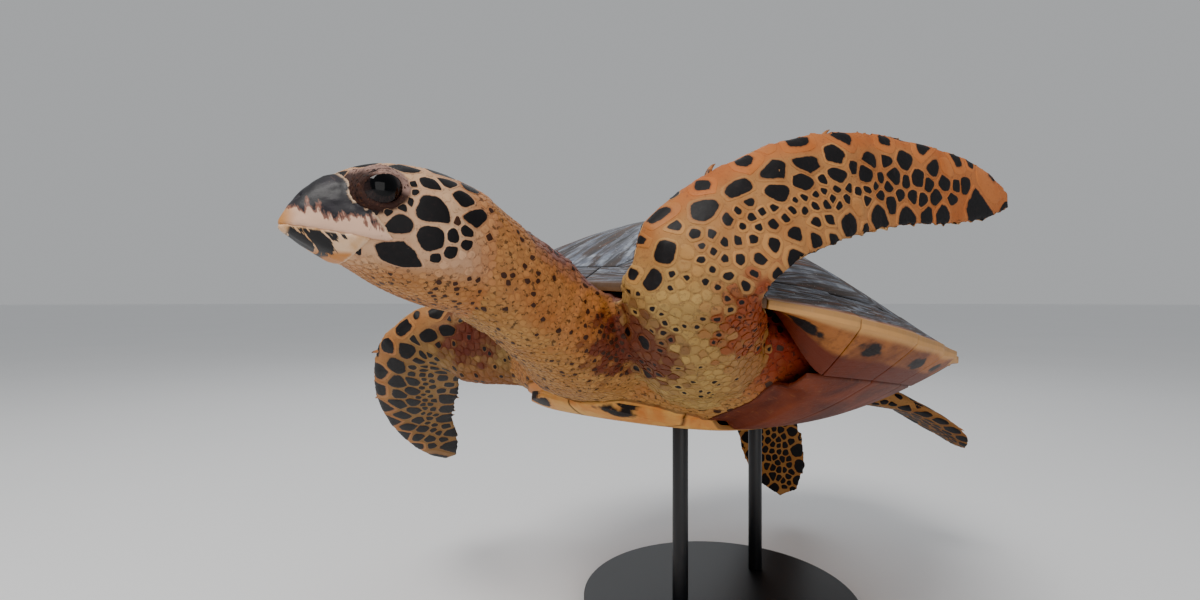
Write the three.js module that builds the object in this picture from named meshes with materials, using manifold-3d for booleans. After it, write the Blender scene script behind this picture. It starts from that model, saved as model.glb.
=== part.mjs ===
// A life-size hawksbill sea turtle, swimming, on a flat-based display stand.
// Millimetres. The turtle faces -Y, its left side is +X, and +Z is up.
import * as THREE from 'three';
import { mergeVertices } from 'three/addons/utils/BufferGeometryUtils.js';
import Module from 'manifold-3d';

const wasm = await Module();
wasm.setup();

// Driving dimensions. The shell's own frame has its origin at the middle of the shell.
const shellLength = 600; // straight carapace length
const shellHalfWidth = 240;
const widestAt = -82; // the widest place, forward of the middle
const domeHeight = 112;
const plastronDepth = 79; // below the rim at the widest place
const plastronSlope = 0.055; // how much deeper it gets towards the front
const rimHalfThickness = 3;
const scuteThickness = 4;
const marginalThickness = 15;
const marginalInner = 0.86; // where the ring of marginals starts, as a share of the outline
const seamGap = 0.3;
const cutDetail = 0.08; // facets finer than this are merged after a cut
const bodyPitch = 9; // degrees, nose up
const bodyHeight = 288; // the middle of the shell above the floor
const headPlace = { x: 27, y: -429, z: 26, yaw: 12, pitch: -1 }; // mm and degrees
const headLength = 128;
const eyeRadius = 12.5;

const { sin, cos, abs, max, min, sqrt, PI, sign, hypot } = Math;
const radians = THREE.MathUtils.degToRad;
const clamp = THREE.MathUtils.clamp;
const lerp = THREE.MathUtils.lerp;
const smoothstep = THREE.MathUtils.smoothstep;
const vec = (x, y, z) => new THREE.Vector3(x, y, z);

// A smooth curve through a few [position, value] pairs.
function profile(pairs) {
  const slope = (i) => {
    const a = pairs[max(i - 1, 0)];
    const b = pairs[min(i + 1, pairs.length - 1)];
    return (b[1] - a[1]) / (b[0] - a[0]);
  };
  return (x) => {
    if (x <= pairs[0][0]) return pairs[0][1];
    if (x >= pairs.at(-1)[0]) return pairs.at(-1)[1];
    const i = pairs.findIndex((p) => p[0] > x) - 1;
    const [x0, y0] = pairs[i];
    const [x1, y1] = pairs[i + 1];
    const h = x1 - x0;
    const t = (x - x0) / h;
    const a = slope(i) * h - (y1 - y0);
    const b = -slope(i + 1) * h + (y1 - y0);
    return lerp(y0, y1, t) + t * (1 - t) * (a * (1 - t) + b * t);
  };
}

// Solids: a closed geometry becomes a manifold for cuts, and comes back as a geometry.
function solid(geometry) {
  const bare = geometry.clone();
  bare.deleteAttribute('normal');
  bare.deleteAttribute('uv');
  const merged = mergeVertices(bare, 1e-4);
  const vertProperties = new Float32Array(merged.attributes.position.array);
  const triVerts = new Uint32Array(merged.index.array);
  const whole = new wasm.Manifold(new wasm.Mesh({ numProp: 3, vertProperties, triVerts }));
  if (whole.volume() > 0) return whole;
  // Inside out, so turned over.
  triVerts.reverse();
  return new wasm.Manifold(new wasm.Mesh({ numProp: 3, vertProperties, triVerts }));
}

function geometryOf(manifold) {
  const mesh = manifold.getMesh();
  const geometry = new THREE.BufferGeometry();
  geometry.setAttribute('position', new THREE.BufferAttribute(mesh.vertProperties, 3));
  geometry.setIndex(new THREE.BufferAttribute(mesh.triVerts, 1));
  return geometry;
}

// What is left after a cut, without its smallest facets and slivers.
const trimmed = (whole) => whole.simplify(cutDetail).decompose()
  .sort((a, b) => b.volume() - a.volume())[0];

// A copy whose faces all stand out by a little, for cutting neighbours with a gap.
function swollen(whole, by) {
  const geometry = geometryOf(whole);
  const { position } = geometry.attributes;
  const triangle = new THREE.Triangle();
  const facing = Array.from({ length: position.count }, () => []);
  for (let i = 0; i < geometry.index.count; i += 3) {
    const corners = [0, 1, 2].map((k) => geometry.index.getX(i + k));
    triangle.setFromAttributeAndIndices(position, ...corners);
    const normal = triangle.getNormal(new THREE.Vector3());
    corners.forEach((corner) => facing[corner].push(normal));
  }
  facing.forEach((normals, i) => {
    const move = new THREE.Vector3();
    for (let round = 0; round < 12; round++) {
      normals.forEach((normal) => move.addScaledVector(normal, max(0, by - normal.dot(move))));
    }
    position.setXYZ(i, position.getX(i) + move.x, position.getY(i) + move.y,
      position.getZ(i) + move.z);
  });
  return solid(geometry);
}

// Moves every vertex of a ready-made geometry to place(x, y, z).
function shaped(geometry, place) {
  const points = geometry.attributes.position;
  const p = new THREE.Vector3();
  for (let i = 0; i < points.count; i++) {
    p.fromBufferAttribute(points, i);
    const q = place(p.x, p.y, p.z);
    points.setXYZ(i, q.x, q.y, q.z);
  }
  return geometry;
}

// A tube of changing section: section(t, angle) gives the skin at a share t of the length, and
// heart(t) the middle of that section. Both ends close on their hearts.
function tube(around, along, heart, section) {
  const cylinder = new THREE.CylinderGeometry(1, 1, 1, around, along);
  return shaped(cylinder, (x, y, z) => {
    const t = clamp(y + 0.5, 0, 1);
    if (hypot(x, z) < 0.5) return heart(t);
    return section(t, Math.atan2(z, x));
  });
}

const colours = {
  skin: { color: 0xb58a4e, roughness: 0.6, metalness: 0 },
  scaled: { color: 0x5a4228, roughness: 0.5, metalness: 0 },
  horn: { color: 0x2b2a33, roughness: 0.35, metalness: 0 },
  paleHorn: { color: 0xc9a468, roughness: 0.4, metalness: 0 },
  eye: { color: 0x0a0808, roughness: 0.05, metalness: 0 },
  carapace: { color: 0x5d6468, roughness: 0.4, metalness: 0 },
  marginal: { color: 0x8c6436, roughness: 0.4, metalness: 0 },
  plastron: { color: 0xd8a550, roughness: 0.4, metalness: 0 },
  bridge: { color: 0x6e3a22, roughness: 0.5, metalness: 0 },
  stand: { color: 0x303236, roughness: 0.45, metalness: 0.6 },
};

const turtle = new THREE.Group();
turtle.rotation.x = -radians(bodyPitch);
const model = new THREE.Group();
model.add(turtle);

function add(name, whole, look, group = turtle) {
  const mesh = new THREE.Mesh(geometryOf(whole), new THREE.MeshStandardMaterial(colours[look]));
  mesh.name = name;
  group.add(mesh);
  return whole;
}

const shellPieces = [];
function addShell(name, geometry, look) {
  shellPieces.push(add(name, solid(geometry), look));
}

// ---- Shell surfaces ----
const frontReach = shellLength / 2 + widestAt;
const rearReach = shellLength / 2 - widestAt;
const frontRoundness = 2.45;
const rearRoundness = 1.8;
// The share of the outline under which the plastron is flat: at the front, sides and back.
const flatFront = 0.6;
const flatSide = 0.3;
const flatRear = 0.4;

function share(x, y) {
  const n = y < widestAt ? frontRoundness : rearRoundness;
  const reach = y < widestAt ? frontReach : rearReach;
  return (abs(x / shellHalfWidth) ** n + abs((y - widestAt) / reach) ** n) ** (1 / n);
}

// The place at a share of the outline in the direction turn, from 0 at the front to PI at the back.
function outline(turn, part) {
  const r = part / share(sin(turn), widestAt - cos(turn));
  return { x: r * sin(turn), y: widestAt - r * cos(turn) };
}

function rimHeight(y) {
  const t = y - widestAt;
  return t < 0 ? 14 * (t / frontReach) ** 2 : 8 * (t / rearReach) ** 2;
}

function topHeight(x, y) {
  const inside = max(cos((min(share(x, y), 1) * PI) / 2), 0);
  const keel = 4 * Math.exp(-((x / 26) ** 2)) * smoothstep(y, -240, -60);
  return rimHeight(y) + rimHalfThickness + domeHeight * inside ** 1.1 + keel * inside ** 0.5;
}

function bottomHeight(x, y) {
  const along = (y - widestAt) / (y < widestAt ? frontReach : rearReach);
  const far = hypot(x / shellHalfWidth, along);
  const lengthwise = far > 1e-6 ? (along / far) ** 2 : 0;
  const flat = lerp(flatSide, y < widestAt ? flatFront : flatRear, lengthwise);
  const out = clamp((share(x, y) - flat) / (1 - flat), 0, 1);
  const depth = plastronDepth - plastronSlope * (y - widestAt);
  return rimHeight(y) - rimHalfThickness - depth * cos((out * PI) / 2) ** 0.9;
}

// ---- Trunk: the flesh inside the shell ----
const trunkReach = 0.835;
const trunkClearance = 1.4; // to the plates, more than a seam because both are faceted

function trunkGeometry(grow = 0) {
  const sphere = new THREE.SphereGeometry(1, 26, 12);
  return shaped(sphere, (x, y, z) => {
    const turn = Math.atan2(x, -z);
    const part = (trunkReach + grow / shellHalfWidth) * min(hypot(x, z), 1);
    const p = outline(turn, part);
    const plates = lerp(scuteThickness, marginalThickness, smoothstep(part, 0.6, trunkReach));
    const roof = topHeight(p.x, p.y) - plates - trunkClearance + grow;
    const floor = bottomHeight(p.x, p.y) + scuteThickness + trunkClearance - grow;
    const middle = (roof + floor) / 2;
    const edge = sqrt(max(0, 1 - min(hypot(x, z), 1) ** 2));
    const open = smoothstep(edge, 0, 0.55) * 0.75 + 0.25;
    const height = lerp(middle, y > 0 ? roof : floor, open);
    return vec(p.x, p.y, abs(y) < 1e-6 ? middle : height);
  });
}

// ---- Carapace scutes ----
// A plate between the shell's surface and a deeper one, over a patch of the plan.
function plate(across, along, plan, outer, thickness) {
  const box = new THREE.BoxGeometry(1, 1, 1, across, along, 1);
  const up = outer === topHeight ? 1 : -1;
  return shaped(box, (x, y, z) => {
    const p = plan(x + 0.5, y + 0.5);
    const face = outer(p.x, p.y);
    return vec(p.x, p.y, z > 0 === up > 0 ? face : face - up * thickness);
  });
}

// ---- The ring of marginals, with the nuchal at its front ----
const nuchalTurn = 0.24;
const marginalCount = 12;
const turnSteps = 400;
const marginalTurns = (() => {
  // Equal lengths of rim from the nuchal to the tail.
  const lengths = [0];
  for (let i = 1; i <= turnSteps; i++) {
    const a = outline(lerp(nuchalTurn, PI, (i - 1) / turnSteps), 1);
    const b = outline(lerp(nuchalTurn, PI, i / turnSteps), 1);
    lengths.push(lengths[i - 1] + hypot(b.x - a.x, b.y - a.y));
  }
  const turns = [nuchalTurn];
  for (let m = 1; m < marginalCount; m++) {
    const i = lengths.findIndex((l) => l > (lengths[turnSteps] * m) / marginalCount);
    turns.push(lerp(nuchalTurn, PI, i / turnSteps));
  }
  return [...turns, PI];
})();

// Rear marginals end in a point that stands out past the next one.
const pointAt = 0.75; // of a marginal's length
function serration(m, t) {
  const size = 0.055 * smoothstep(m, 2.5, 9);
  const rise = t < pointAt ? (t / pointAt) ** 1.6 : (1 - t) / (1 - pointAt);
  return size * (rise - 0.3);
}

// The underside of the ring is thin over the limbs and meets the bridge between them.
const bridgeShareOut = marginalInner - 0.006;
const bridgeFront = 1.03;
const bridgeRear = 2.42;
function bridgeShare(turn) {
  return smoothstep(turn, bridgeFront - 0.07, bridgeFront + 0.07)
    * (1 - smoothstep(turn, bridgeRear - 0.1, bridgeRear + 0.1));
}

function ringPiece(segments, turnAt, edgeAt) {
  const box = new THREE.BoxGeometry(1, 1, 1, 1, segments, 1);
  return shaped(box, (x, y, z) => {
    const s = x + 0.5;
    const t = y + 0.5;
    const turn = turnAt(t);
    const part = lerp(marginalInner, 1, s);
    const p = outline(abs(turn), part + s * edgeAt(t));
    const roof = topHeight(p.x, p.y);
    const thin = lerp(marginalThickness, 2 * rimHalfThickness, s);
    const deep = roof - bottomHeight(p.x, p.y);
    const thickness = lerp(thin, max(deep, thin), bridgeShare(abs(turn)));
    return vec(sign(turn) * p.x, p.y, z > 0 ? roof : roof - thickness);
  });
}

const cornerGap = 0.0016; // radians of turn, half a seam
addShell('nuchal', ringPiece(8, (t) => lerp(-nuchalTurn, nuchalTurn, t), () => 0), 'marginal');
const groups = [['front', 0], ['middle', 4], ['rear', 8]];
for (const [side, mirror] of [['left', 1], ['right', -1]]) {
  for (const [place, first] of groups) {
    const turnAt = (t) => {
      const f = t * 4;
      const k = min(Math.floor(f), 3);
      const turn = lerp(marginalTurns[first + k], marginalTurns[first + k + 1], f - k);
      return clamp(turn, marginalTurns[first] + cornerGap, marginalTurns[first + 4] - cornerGap);
    };
    const edgeAt = (t) => {
      const f = t * 4;
      const k = min(Math.floor(f + 1e-6), 3);
      return serration(first + k, f - k);
    };
    const piece = ringPiece(16, (t) => mirror * turnAt(t), edgeAt);
    addShell(`marginals_${place}_${side}`, piece, 'marginal');
  }
}

const ringSpace = wasm.Manifold.union(shellPieces.map((piece) => swollen(piece, seamGap)));

// ---- Vertebrals and costals ----
const rearCorner = 2.893; // the turn at which the last costal seam meets the marginals
const costalTurns = [0.39, 1.42, 2.045, 2.566, rearCorner];
const innerShare = marginalInner + 0.012; // runs on into the ring, which cuts it to fit

function innerFront(x) {
  // y of the inner outline's front edge.
  const part = abs(x) / (shellHalfWidth * innerShare);
  return widestAt - frontReach * innerShare * (1 - part ** frontRoundness) ** (1 / frontRoundness);
}

function innerRear(x) {
  const part = abs(x) / (shellHalfWidth * innerShare);
  return widestAt + rearReach * innerShare * (1 - part ** rearRoundness) ** (1 / rearRoundness);
}

// Hexagonal vertebrals down the middle: their seams and half-widths, as [y, half-width].
const vertebralEnds = [[innerFront(60), 60], [-150, 50], [-42, 52], [60, 48], [159, 40]];
const vertebralMiddles = [74, 76, 76, 66].map((half, i) => {
  const start = i === 0 ? innerFront(half) : vertebralEnds[i][0];
  return [(start + vertebralEnds[i + 1][0]) / 2, half];
});

function addScute(name, geometry) {
  shellPieces.push(add(name, trimmed(solid(geometry).subtract(ringSpace)), 'carapace'));
}

for (let i = 0; i < 4; i++) {
  const [yFront, wFront] = vertebralEnds[i];
  const [, wMiddle] = vertebralMiddles[i];
  const [yRear, wRear] = vertebralEnds[i + 1];
  const plan = (s, t) => {
    const w = t < 0.5 ? lerp(wFront, wMiddle, 2 * t) : lerp(wMiddle, wRear, 2 * t - 1);
    const x = lerp(-w + seamGap, w - seamGap, s);
    const start = i === 0 ? innerFront(x) : yFront + seamGap;
    return { x, y: lerp(start, yRear - seamGap, t) };
  };
  addScute(`vertebral_${i + 1}`, plate(4, 4, plan, topHeight, scuteThickness));
}

const rearCornerPlace = outline(rearCorner, innerShare);
const lastVertebral = (s, t) => {
  const w = lerp(vertebralEnds[4][1], rearCornerPlace.x, t) - seamGap;
  const x = lerp(-w, w, s);
  return { x, y: lerp(vertebralEnds[4][0] + seamGap, innerRear(x), t) };
};
addScute('vertebral_5', plate(4, 4, lastVertebral, topHeight, scuteThickness));

// Costals: from the vertebrals' zigzag edge out to the marginals.
const zigzag = [vertebralEnds[0], vertebralMiddles[0], vertebralEnds[1], vertebralMiddles[1],
  vertebralEnds[2], vertebralMiddles[2], vertebralEnds[3], vertebralMiddles[3], vertebralEnds[4]];
const costalBow = 3; // how far the seams between them bow towards the front
const costalKnots = [zigzag.slice(0, 4), zigzag.slice(3, 6), zigzag.slice(5, 8), zigzag.slice(7, 9)];

for (const [side, mirror] of [['left', 1], ['right', -1]]) {
  costalKnots.forEach((knots, i) => {
    const plan = (s, t) => {
      const f = t * (knots.length - 1);
      const k = min(Math.floor(f), knots.length - 2);
      const y = lerp(knots[k][0], knots[k + 1][0], f - k);
      const x = lerp(knots[k][1], knots[k + 1][1], f - k) + seamGap;
      const turn = lerp(costalTurns[i] + 0.002, costalTurns[i + 1] - 0.002, t);
      const outer = outline(turn, innerShare);
      const inset = seamGap * (1 - 2 * t);
      return {
        x: mirror * lerp(x, outer.x, s),
        y: lerp(y, outer.y, s) + inset - costalBow * 4 * s * (1 - s),
      };
    };
    addScute(`costal_${i + 1}_${side}`, plate(3, 6, plan, topHeight, scuteThickness));
  });
}

// ---- Plastron and bridge ----
const plastronHalf = profile([[-240, 34], [-225, 62], [-190, 92], [-130, 112], [0, 116], [95, 98],
  [155, 74], [195, 42]]);
const plastronSeams = [-240, -198, -118, -40, 45, 128, 195];
const plastronNames = ['gular', 'humeral', 'pectoral', 'abdominal', 'femoral', 'anal'];
for (const [side, mirror] of [['left', 1], ['right', -1]]) {
  plastronNames.forEach((name, i) => {
    const plan = (s, t) => {
      const y = lerp(plastronSeams[i] + seamGap, plastronSeams[i + 1] - seamGap, t);
      const x = lerp(seamGap, plastronHalf(y), s);
      return { x: mirror * x, y };
    };
    addShell(`${name}_${side}`, plate(4, 3, plan, bottomHeight, scuteThickness), 'plastron');
  });
}

// The bridge runs on under the plastron's edge, which cuts it to fit.
const bridgeAlongPlastron = [-182, 98];
const bridgeUnderlap = 3;
const plastronSpace = wasm.Manifold.union(
  shellPieces.slice(-2 * plastronNames.length).map((piece) => swollen(piece, seamGap)),
);
for (const [side, mirror] of [['left', 1], ['right', -1]]) {
  const plan = (s, t) => {
    const outer = outline(lerp(bridgeFront, bridgeRear, t), bridgeShareOut);
    const y = lerp(...bridgeAlongPlastron, t);
    const x = plastronHalf(y) - bridgeUnderlap;
    return { x: mirror * lerp(x, outer.x, s), y: lerp(y, outer.y, s) };
  };
  const whole = solid(plate(3, 6, plan, bottomHeight, scuteThickness));
  shellPieces.push(add(`bridge_${side}`, trimmed(whole.subtract(plastronSpace)), 'bridge'));
}

const shellSpace = wasm.Manifold.union(shellPieces.map((piece) => swollen(piece, seamGap)));
const trunk = solid(trunkGeometry());
const trunkSpace = solid(trunkGeometry(seamGap));
add('trunk', trunk, 'skin');

// ---- Head and neck ----
// Profiles along the head, from the beak's tip at -64 to the back of the skull, in its own frame.
const headTip = -headLength / 2;
const headBack = 46;
const crown = profile([[-64, -8], [-61, -1], [-55, 10], [-46, 19.5], [-32, 30], [-16, 36], [10, 38.5],
  [34, 35], [46, 32.5]]);
const chin = profile([[-64, -13.5], [-58, -16], [-47, -21.5], [-36, -26], [-26, -29], [-9, -36.5],
  [8, -42], [25, -45.5], [46, -47]]);
const cheek = profile([[-64, 2], [-61, 6.5], [-54, 12.5], [-44, 18], [-32, 25], [-18, 32.5], [0, 38.5],
  [20, 40.5], [46, 38.5]]);
const widestHeight = profile([[-64, -10], [-40, -6], [0, -3], [46, -5]]);
const squareness = 2.35;
const headFacets = 20; // round the head and the neck

function headSection(y, angle) {
  const c = cos(angle);
  const s = sin(angle);
  const middle = widestHeight(y);
  const x = cheek(y) * sign(c) * abs(c) ** (2 / squareness);
  const tall = s > 0 ? crown(y) - middle : middle - chin(y);
  return vec(x, y, middle + tall * sign(s) * abs(s) ** (2 / squareness));
}

const headStations = [0, 0.012, 0.035, 0.07, 0.12, 0.17, 0.23, 0.29, 0.35, 0.41, 0.48, 0.56, 0.64,
  0.73, 0.82, 0.91, 1];
const headY = (t) => {
  const f = t * (headStations.length - 1);
  const k = min(Math.floor(f + 1e-9), headStations.length - 2);
  return lerp(headTip, headBack, lerp(headStations[k], headStations[k + 1], f - k));
};
const headFrame = new THREE.Matrix4().makeTranslation(headPlace.x, headPlace.y, headPlace.z)
  .multiply(new THREE.Matrix4().makeRotationZ(-radians(headPlace.yaw)))
  .multiply(new THREE.Matrix4().makeRotationX(-radians(headPlace.pitch)));

// The angle runs from the left cheek over the crown.
const wholeHead = solid(tube(headFacets, headStations.length - 1,
  (t) => vec(0, headY(t), widestHeight(headY(t))),
  (t, angle) => headSection(headY(t), angle)));

function block(width, length, height, place, tilt) {
  const box = new THREE.BoxGeometry(width, length, height);
  box.rotateX(tilt);
  box.translate(place.x, place.y, place.z);
  return solid(box);
}

// The mouth line falls gently from the beak to the corner of the mouth.
const mouthCorner = 12;
const mouthTilt = -0.055;
const mouthHeight = (y) => -11 + (y - headTip) * mouthTilt;
const cutWidth = 240; // the blocks that cut the head are wider than it is
const jawBlock = (grow) => {
  const length = 80;
  const height = 60;
  const y = mouthCorner - length / 2;
  const z = mouthHeight(y) - height / 2 + grow;
  return block(cutWidth, length + 2 * grow, height, { x: 0, y, z }, mouthTilt);
};
const jawWhole = wholeHead.intersect(jawBlock(-seamGap / 2));
const upperWhole = wholeHead.subtract(jawBlock(seamGap / 2));

// The horn of the beak ends in a slanting line below the eye.
const beakBlock = (y, z, tilt, grow) => {
  const half = 60;
  const place = { x: 0, y: y - half * cos(tilt) + grow, z: z - half * sin(tilt) };
  return block(cutWidth, 2 * half, 160, place, tilt);
};
const upperBeak = { y: -27, z: 5, tilt: 0.66 };
const lowerBeak = { y: -27, z: -20, tilt: -0.5 };
const cutBeak = (whole, edge) => [
  whole.intersect(beakBlock(edge.y, edge.z, edge.tilt, -seamGap / 2)),
  whole.subtract(beakBlock(edge.y, edge.z, edge.tilt, seamGap / 2)),
];
const [upperBeakSolid, skull] = cutBeak(upperWhole, upperBeak);
const [lowerBeakSolid, jaw] = cutBeak(jawWhole, lowerBeak);

const eyePlace = { x: 22.5, y: -23, z: 13.5 };
const eyeball = (mirror, radius) => {
  const sphere = new THREE.SphereGeometry(radius, 14, 8);
  sphere.translate(mirror * eyePlace.x, eyePlace.y, eyePlace.z);
  return sphere;
};
const sockets = [1, -1].map((mirror) => solid(eyeball(mirror, eyeRadius + seamGap)));
const open = (whole) => trimmed(sockets.reduce((rest, socket) => rest.subtract(socket), whole));

const inHead = (whole) => whole.transform(headFrame.elements);
add('head', inHead(open(skull)), 'scaled');
add('upper_beak', inHead(open(upperBeakSolid)), 'horn');
add('lower_beak', inHead(lowerBeakSolid), 'paleHorn');
add('lower_jaw', inHead(jaw), 'skin');
add('eye_left', inHead(solid(eyeball(1, eyeRadius))), 'eye');
add('eye_right', inHead(solid(eyeball(-1, eyeRadius))), 'eye');

// The neck leaves the back of the head with the same section and widens into the trunk.
const neckMiddle = new THREE.CatmullRomCurve3([
  vec(0, headBack - 3, 0).applyMatrix4(headFrame),
  vec(40, -352, 12), vec(33, -312, 0), vec(16, -262, -6), vec(0, -205, -10)]);
const neckWide = profile([[0, 1], [0.25, 1.07], [0.5, 1.3], [0.75, 1.85], [1, 2.1]]);
const neckTall = profile([[0, 1], [0.25, 1.0], [0.5, 1.12], [0.75, 1.35], [1, 1.35]]);
const neckTurn = profile([[0, radians(12)], [0.4, radians(20)], [1, 0]]);

function neckSection(t, angle) {
  const p = headSection(headBack, angle);
  const side = p.x * neckWide(t);
  const yaw = neckTurn(t);
  const middle = neckMiddle.getPoint(t);
  return vec(middle.x + side * cos(yaw), middle.y - side * sin(yaw), middle.z + p.z * neckTall(t));
}
const neckTube = (grow) => tube(headFacets, 7, (t) => neckMiddle.getPoint(t), (t, angle) => {
  const p = neckSection(t, angle);
  const heart = neckMiddle.getPoint(t);
  return grow ? p.add(p.clone().sub(heart).setLength(grow)) : p;
});
const skullBlock = 100; // ends a seam behind the skull
const skullSide = { x: 0, y: headBack + seamGap - skullBlock / 2, z: 0 };
const skullSpace = block(cutWidth, skullBlock, cutWidth, skullSide, 0)
  .transform(headFrame.elements);
const neck = trimmed(solid(neckTube(0)).subtract(skullSpace).subtract(trunkSpace)
  .subtract(shellSpace));
const neckSpace = solid(neckTube(seamGap));
add('neck', neck, 'skin');

// ---- Flippers ----
// Stations from the root to the tip: middle, direction of the leading edge, half-width and
// half-thickness. flat goes from 0 for a round limb to 1 for a blade.
function limb(stations, around, along) {
  const path = new THREE.CatmullRomCurve3(stations.map((s) => vec(...s.at)));
  const leads = new THREE.CatmullRomCurve3(stations.map((s) => vec(...s.lead)));
  const measure = (key) => profile(stations.map((s, i) => [i / (stations.length - 1), s[key]]));
  const half = measure('half');
  const thick = measure('thick');
  const flat = measure('flat');
  const section = (t, angle) => {
    const tangent = path.getTangent(t);
    const lead = leads.getPoint(t);
    lead.addScaledVector(tangent, -lead.dot(tangent)).normalize();
    const up = new THREE.Vector3().crossVectors(tangent, lead);
    const c = cos(angle);
    const s = sin(angle);
    const taper = lerp(1, 0.42 + 0.58 * smoothstep(c, -1, 0.6), flat(t));
    const p = path.getPoint(t);
    p.addScaledVector(lead, c * half(t));
    return p.addScaledVector(up, s * thick(t) * taper);
  };
  return tube(around, along, (t) => path.getPoint(t), section);
}

const frontLeft = [
  { at: [96, -200, -20], lead: [-0.6, -0.78, -0.1], half: 56, thick: 50, flat: 0 },
  { at: [118, -238, -12], lead: [-0.76, -0.64, -0.1], half: 52, thick: 43, flat: 0 },
  { at: [135, -277, 10], lead: [-0.84, -0.52, 0.0], half: 49, thick: 29, flat: 0.2 },
  { at: [149, -283, 37], lead: [-0.82, -0.4, 0.38], half: 48, thick: 19, flat: 0.5 },
  { at: [166, -266, 62], lead: [-0.68, -0.22, 0.7], half: 45, thick: 14, flat: 0.8 },
  { at: [184, -232, 86], lead: [-0.44, -0.07, 0.89], half: 44, thick: 11, flat: 1 },
  { at: [201, -188, 106], lead: [-0.22, 0.04, 0.97], half: 42, thick: 9.5, flat: 1 },
  { at: [218, -140, 119], lead: [-0.06, 0.11, 0.99], half: 37, thick: 8, flat: 1 },
  { at: [236, -88, 128], lead: [0.03, 0.14, 0.98], half: 33, thick: 6.5, flat: 1 },
  { at: [253, -38, 135], lead: [0.13, 0.2, 0.97], half: 26, thick: 5, flat: 1 },
  { at: [268, 2, 138], lead: [0.16, 0.25, 0.96], half: 9, thick: 2.5, flat: 1 },
];
const frontRight = [
  { at: [-92, -208, -20], lead: [-0.3, -0.7, 0.6], half: 50, thick: 44, flat: 0 },
  { at: [-116, -231, -22], lead: [-0.3, -0.65, 0.68], half: 48, thick: 40, flat: 0 },
  { at: [-134, -260, -29], lead: [-0.29, -0.71, 0.64], half: 44, thick: 28, flat: 0.2 },
  { at: [-152, -275, -37], lead: [-0.28, -0.84, 0.47], half: 43, thick: 18, flat: 0.5 },
  { at: [-177, -272, -54], lead: [-0.4, -0.86, 0.31], half: 45, thick: 13, flat: 0.8 },
  { at: [-208, -251, -77], lead: [-0.49, -0.86, 0.13], half: 46, thick: 11, flat: 1 },
  { at: [-237, -230, -98], lead: [-0.53, -0.85, 0.03], half: 43, thick: 9.5, flat: 1 },
  { at: [-263, -204, -119], lead: [-0.53, -0.84, -0.08], half: 38, thick: 8, flat: 1 },
  { at: [-285, -172, -141], lead: [-0.6, -0.77, -0.2], half: 32, thick: 6.5, flat: 1 },
  { at: [-302, -142, -160], lead: [-0.65, -0.7, -0.3], half: 23, thick: 5, flat: 1 },
  { at: [-313, -120, -172], lead: [-0.7, -0.6, -0.4], half: 8, thick: 2.5, flat: 1 },
];
const hindLeft = [
  { at: [80, 178, -28], lead: [0.75, -0.65, 0.0], half: 32, thick: 24, flat: 0 },
  { at: [102, 206, -37], lead: [0.68, -0.73, 0.05], half: 34, thick: 17, flat: 0.3 },
  { at: [126, 230, -47], lead: [0.62, -0.78, 0.1], half: 40, thick: 10, flat: 0.8 },
  { at: [147, 257, -60], lead: [0.6, -0.8, 0.12], half: 44, thick: 7, flat: 1 },
  { at: [165, 287, -77], lead: [0.6, -0.8, 0.12], half: 36, thick: 5, flat: 1 },
  { at: [175, 306, -91], lead: [0.6, -0.8, 0.1], half: 13, thick: 2.5, flat: 1 },
];
const hindRight = [
  { at: [-82, 196, -34], lead: [-0.85, -0.45, 0.1], half: 34, thick: 24, flat: 0 },
  { at: [-82, 232, -56], lead: [-0.8, -0.6, 0.0], half: 37, thick: 17, flat: 0.3 },
  { at: [-76, 268, -92], lead: [-0.76, -0.65, -0.05], half: 45, thick: 10, flat: 0.8 },
  { at: [-70, 292, -134], lead: [-0.75, -0.66, -0.1], half: 48, thick: 7, flat: 1 },
  { at: [-63, 312, -172], lead: [-0.75, -0.65, -0.14], half: 37, thick: 5, flat: 1 },
  { at: [-58, 326, -198], lead: [-0.75, -0.62, -0.2], half: 14, thick: 2.5, flat: 1 },
];

const bodySpace = trunkSpace.add(neckSpace).add(shellSpace);
const limbSpaces = {};
function addLimb(place, name, stations, around, along) {
  const whole = solid(limb(stations, around, along));
  add(name, trimmed(whole.subtract(bodySpace)), 'scaled');
  limbSpaces[place] = swollen(whole, seamGap);
}
addLimb('front_left', 'front_flipper_left', frontLeft, 12, 14);
addLimb('front_right', 'front_flipper_right', frontRight, 12, 14);
addLimb('hind_left', 'hind_flipper_left', hindLeft, 12, 9);
addLimb('hind_right', 'hind_flipper_right', hindRight, 12, 9);

// ---- Claws ----
// Two small claws lie along the leading edge of each flipper, pointing to its tip.
const claws = [
  ['front_left', frontLeft, [0.42, 0.6], 10],
  ['front_right', frontRight, [0.42, 0.6], 10],
  ['hind_left', hindLeft, [0.55, 0.7], 7],
  ['hind_right', hindRight, [0.55, 0.7], 7],
];
for (const [place, stations, spots, size] of claws) {
  spots.forEach((spot, i) => {
    const path = new THREE.CatmullRomCurve3(stations.map((s) => vec(...s.at)));
    const leads = new THREE.CatmullRomCurve3(stations.map((s) => vec(...s.lead)));
    const half = profile(stations.map((s, k) => [k / (stations.length - 1), s.half]))(spot);
    const onward = path.getTangent(spot);
    const lead = leads.getPoint(spot);
    lead.addScaledVector(onward, -lead.dot(onward)).normalize();
    const length = size * (i === 0 ? 1.3 : 0.9);
    const cone = new THREE.ConeGeometry(length * 0.26, length, 8);
    const point = onward.clone().addScaledVector(lead, 0.35).normalize();
    cone.applyQuaternion(new THREE.Quaternion().setFromUnitVectors(vec(0, 1, 0), point));
    const at = path.getPoint(spot).addScaledVector(lead, half * 1.02);
    cone.translate(at.x, at.y, at.z);
    const limbSpace = limbSpaces[place];
    add(`claw_${place}_${i + 1}`, trimmed(solid(cone).subtract(limbSpace)), 'horn');
  });
}

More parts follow.
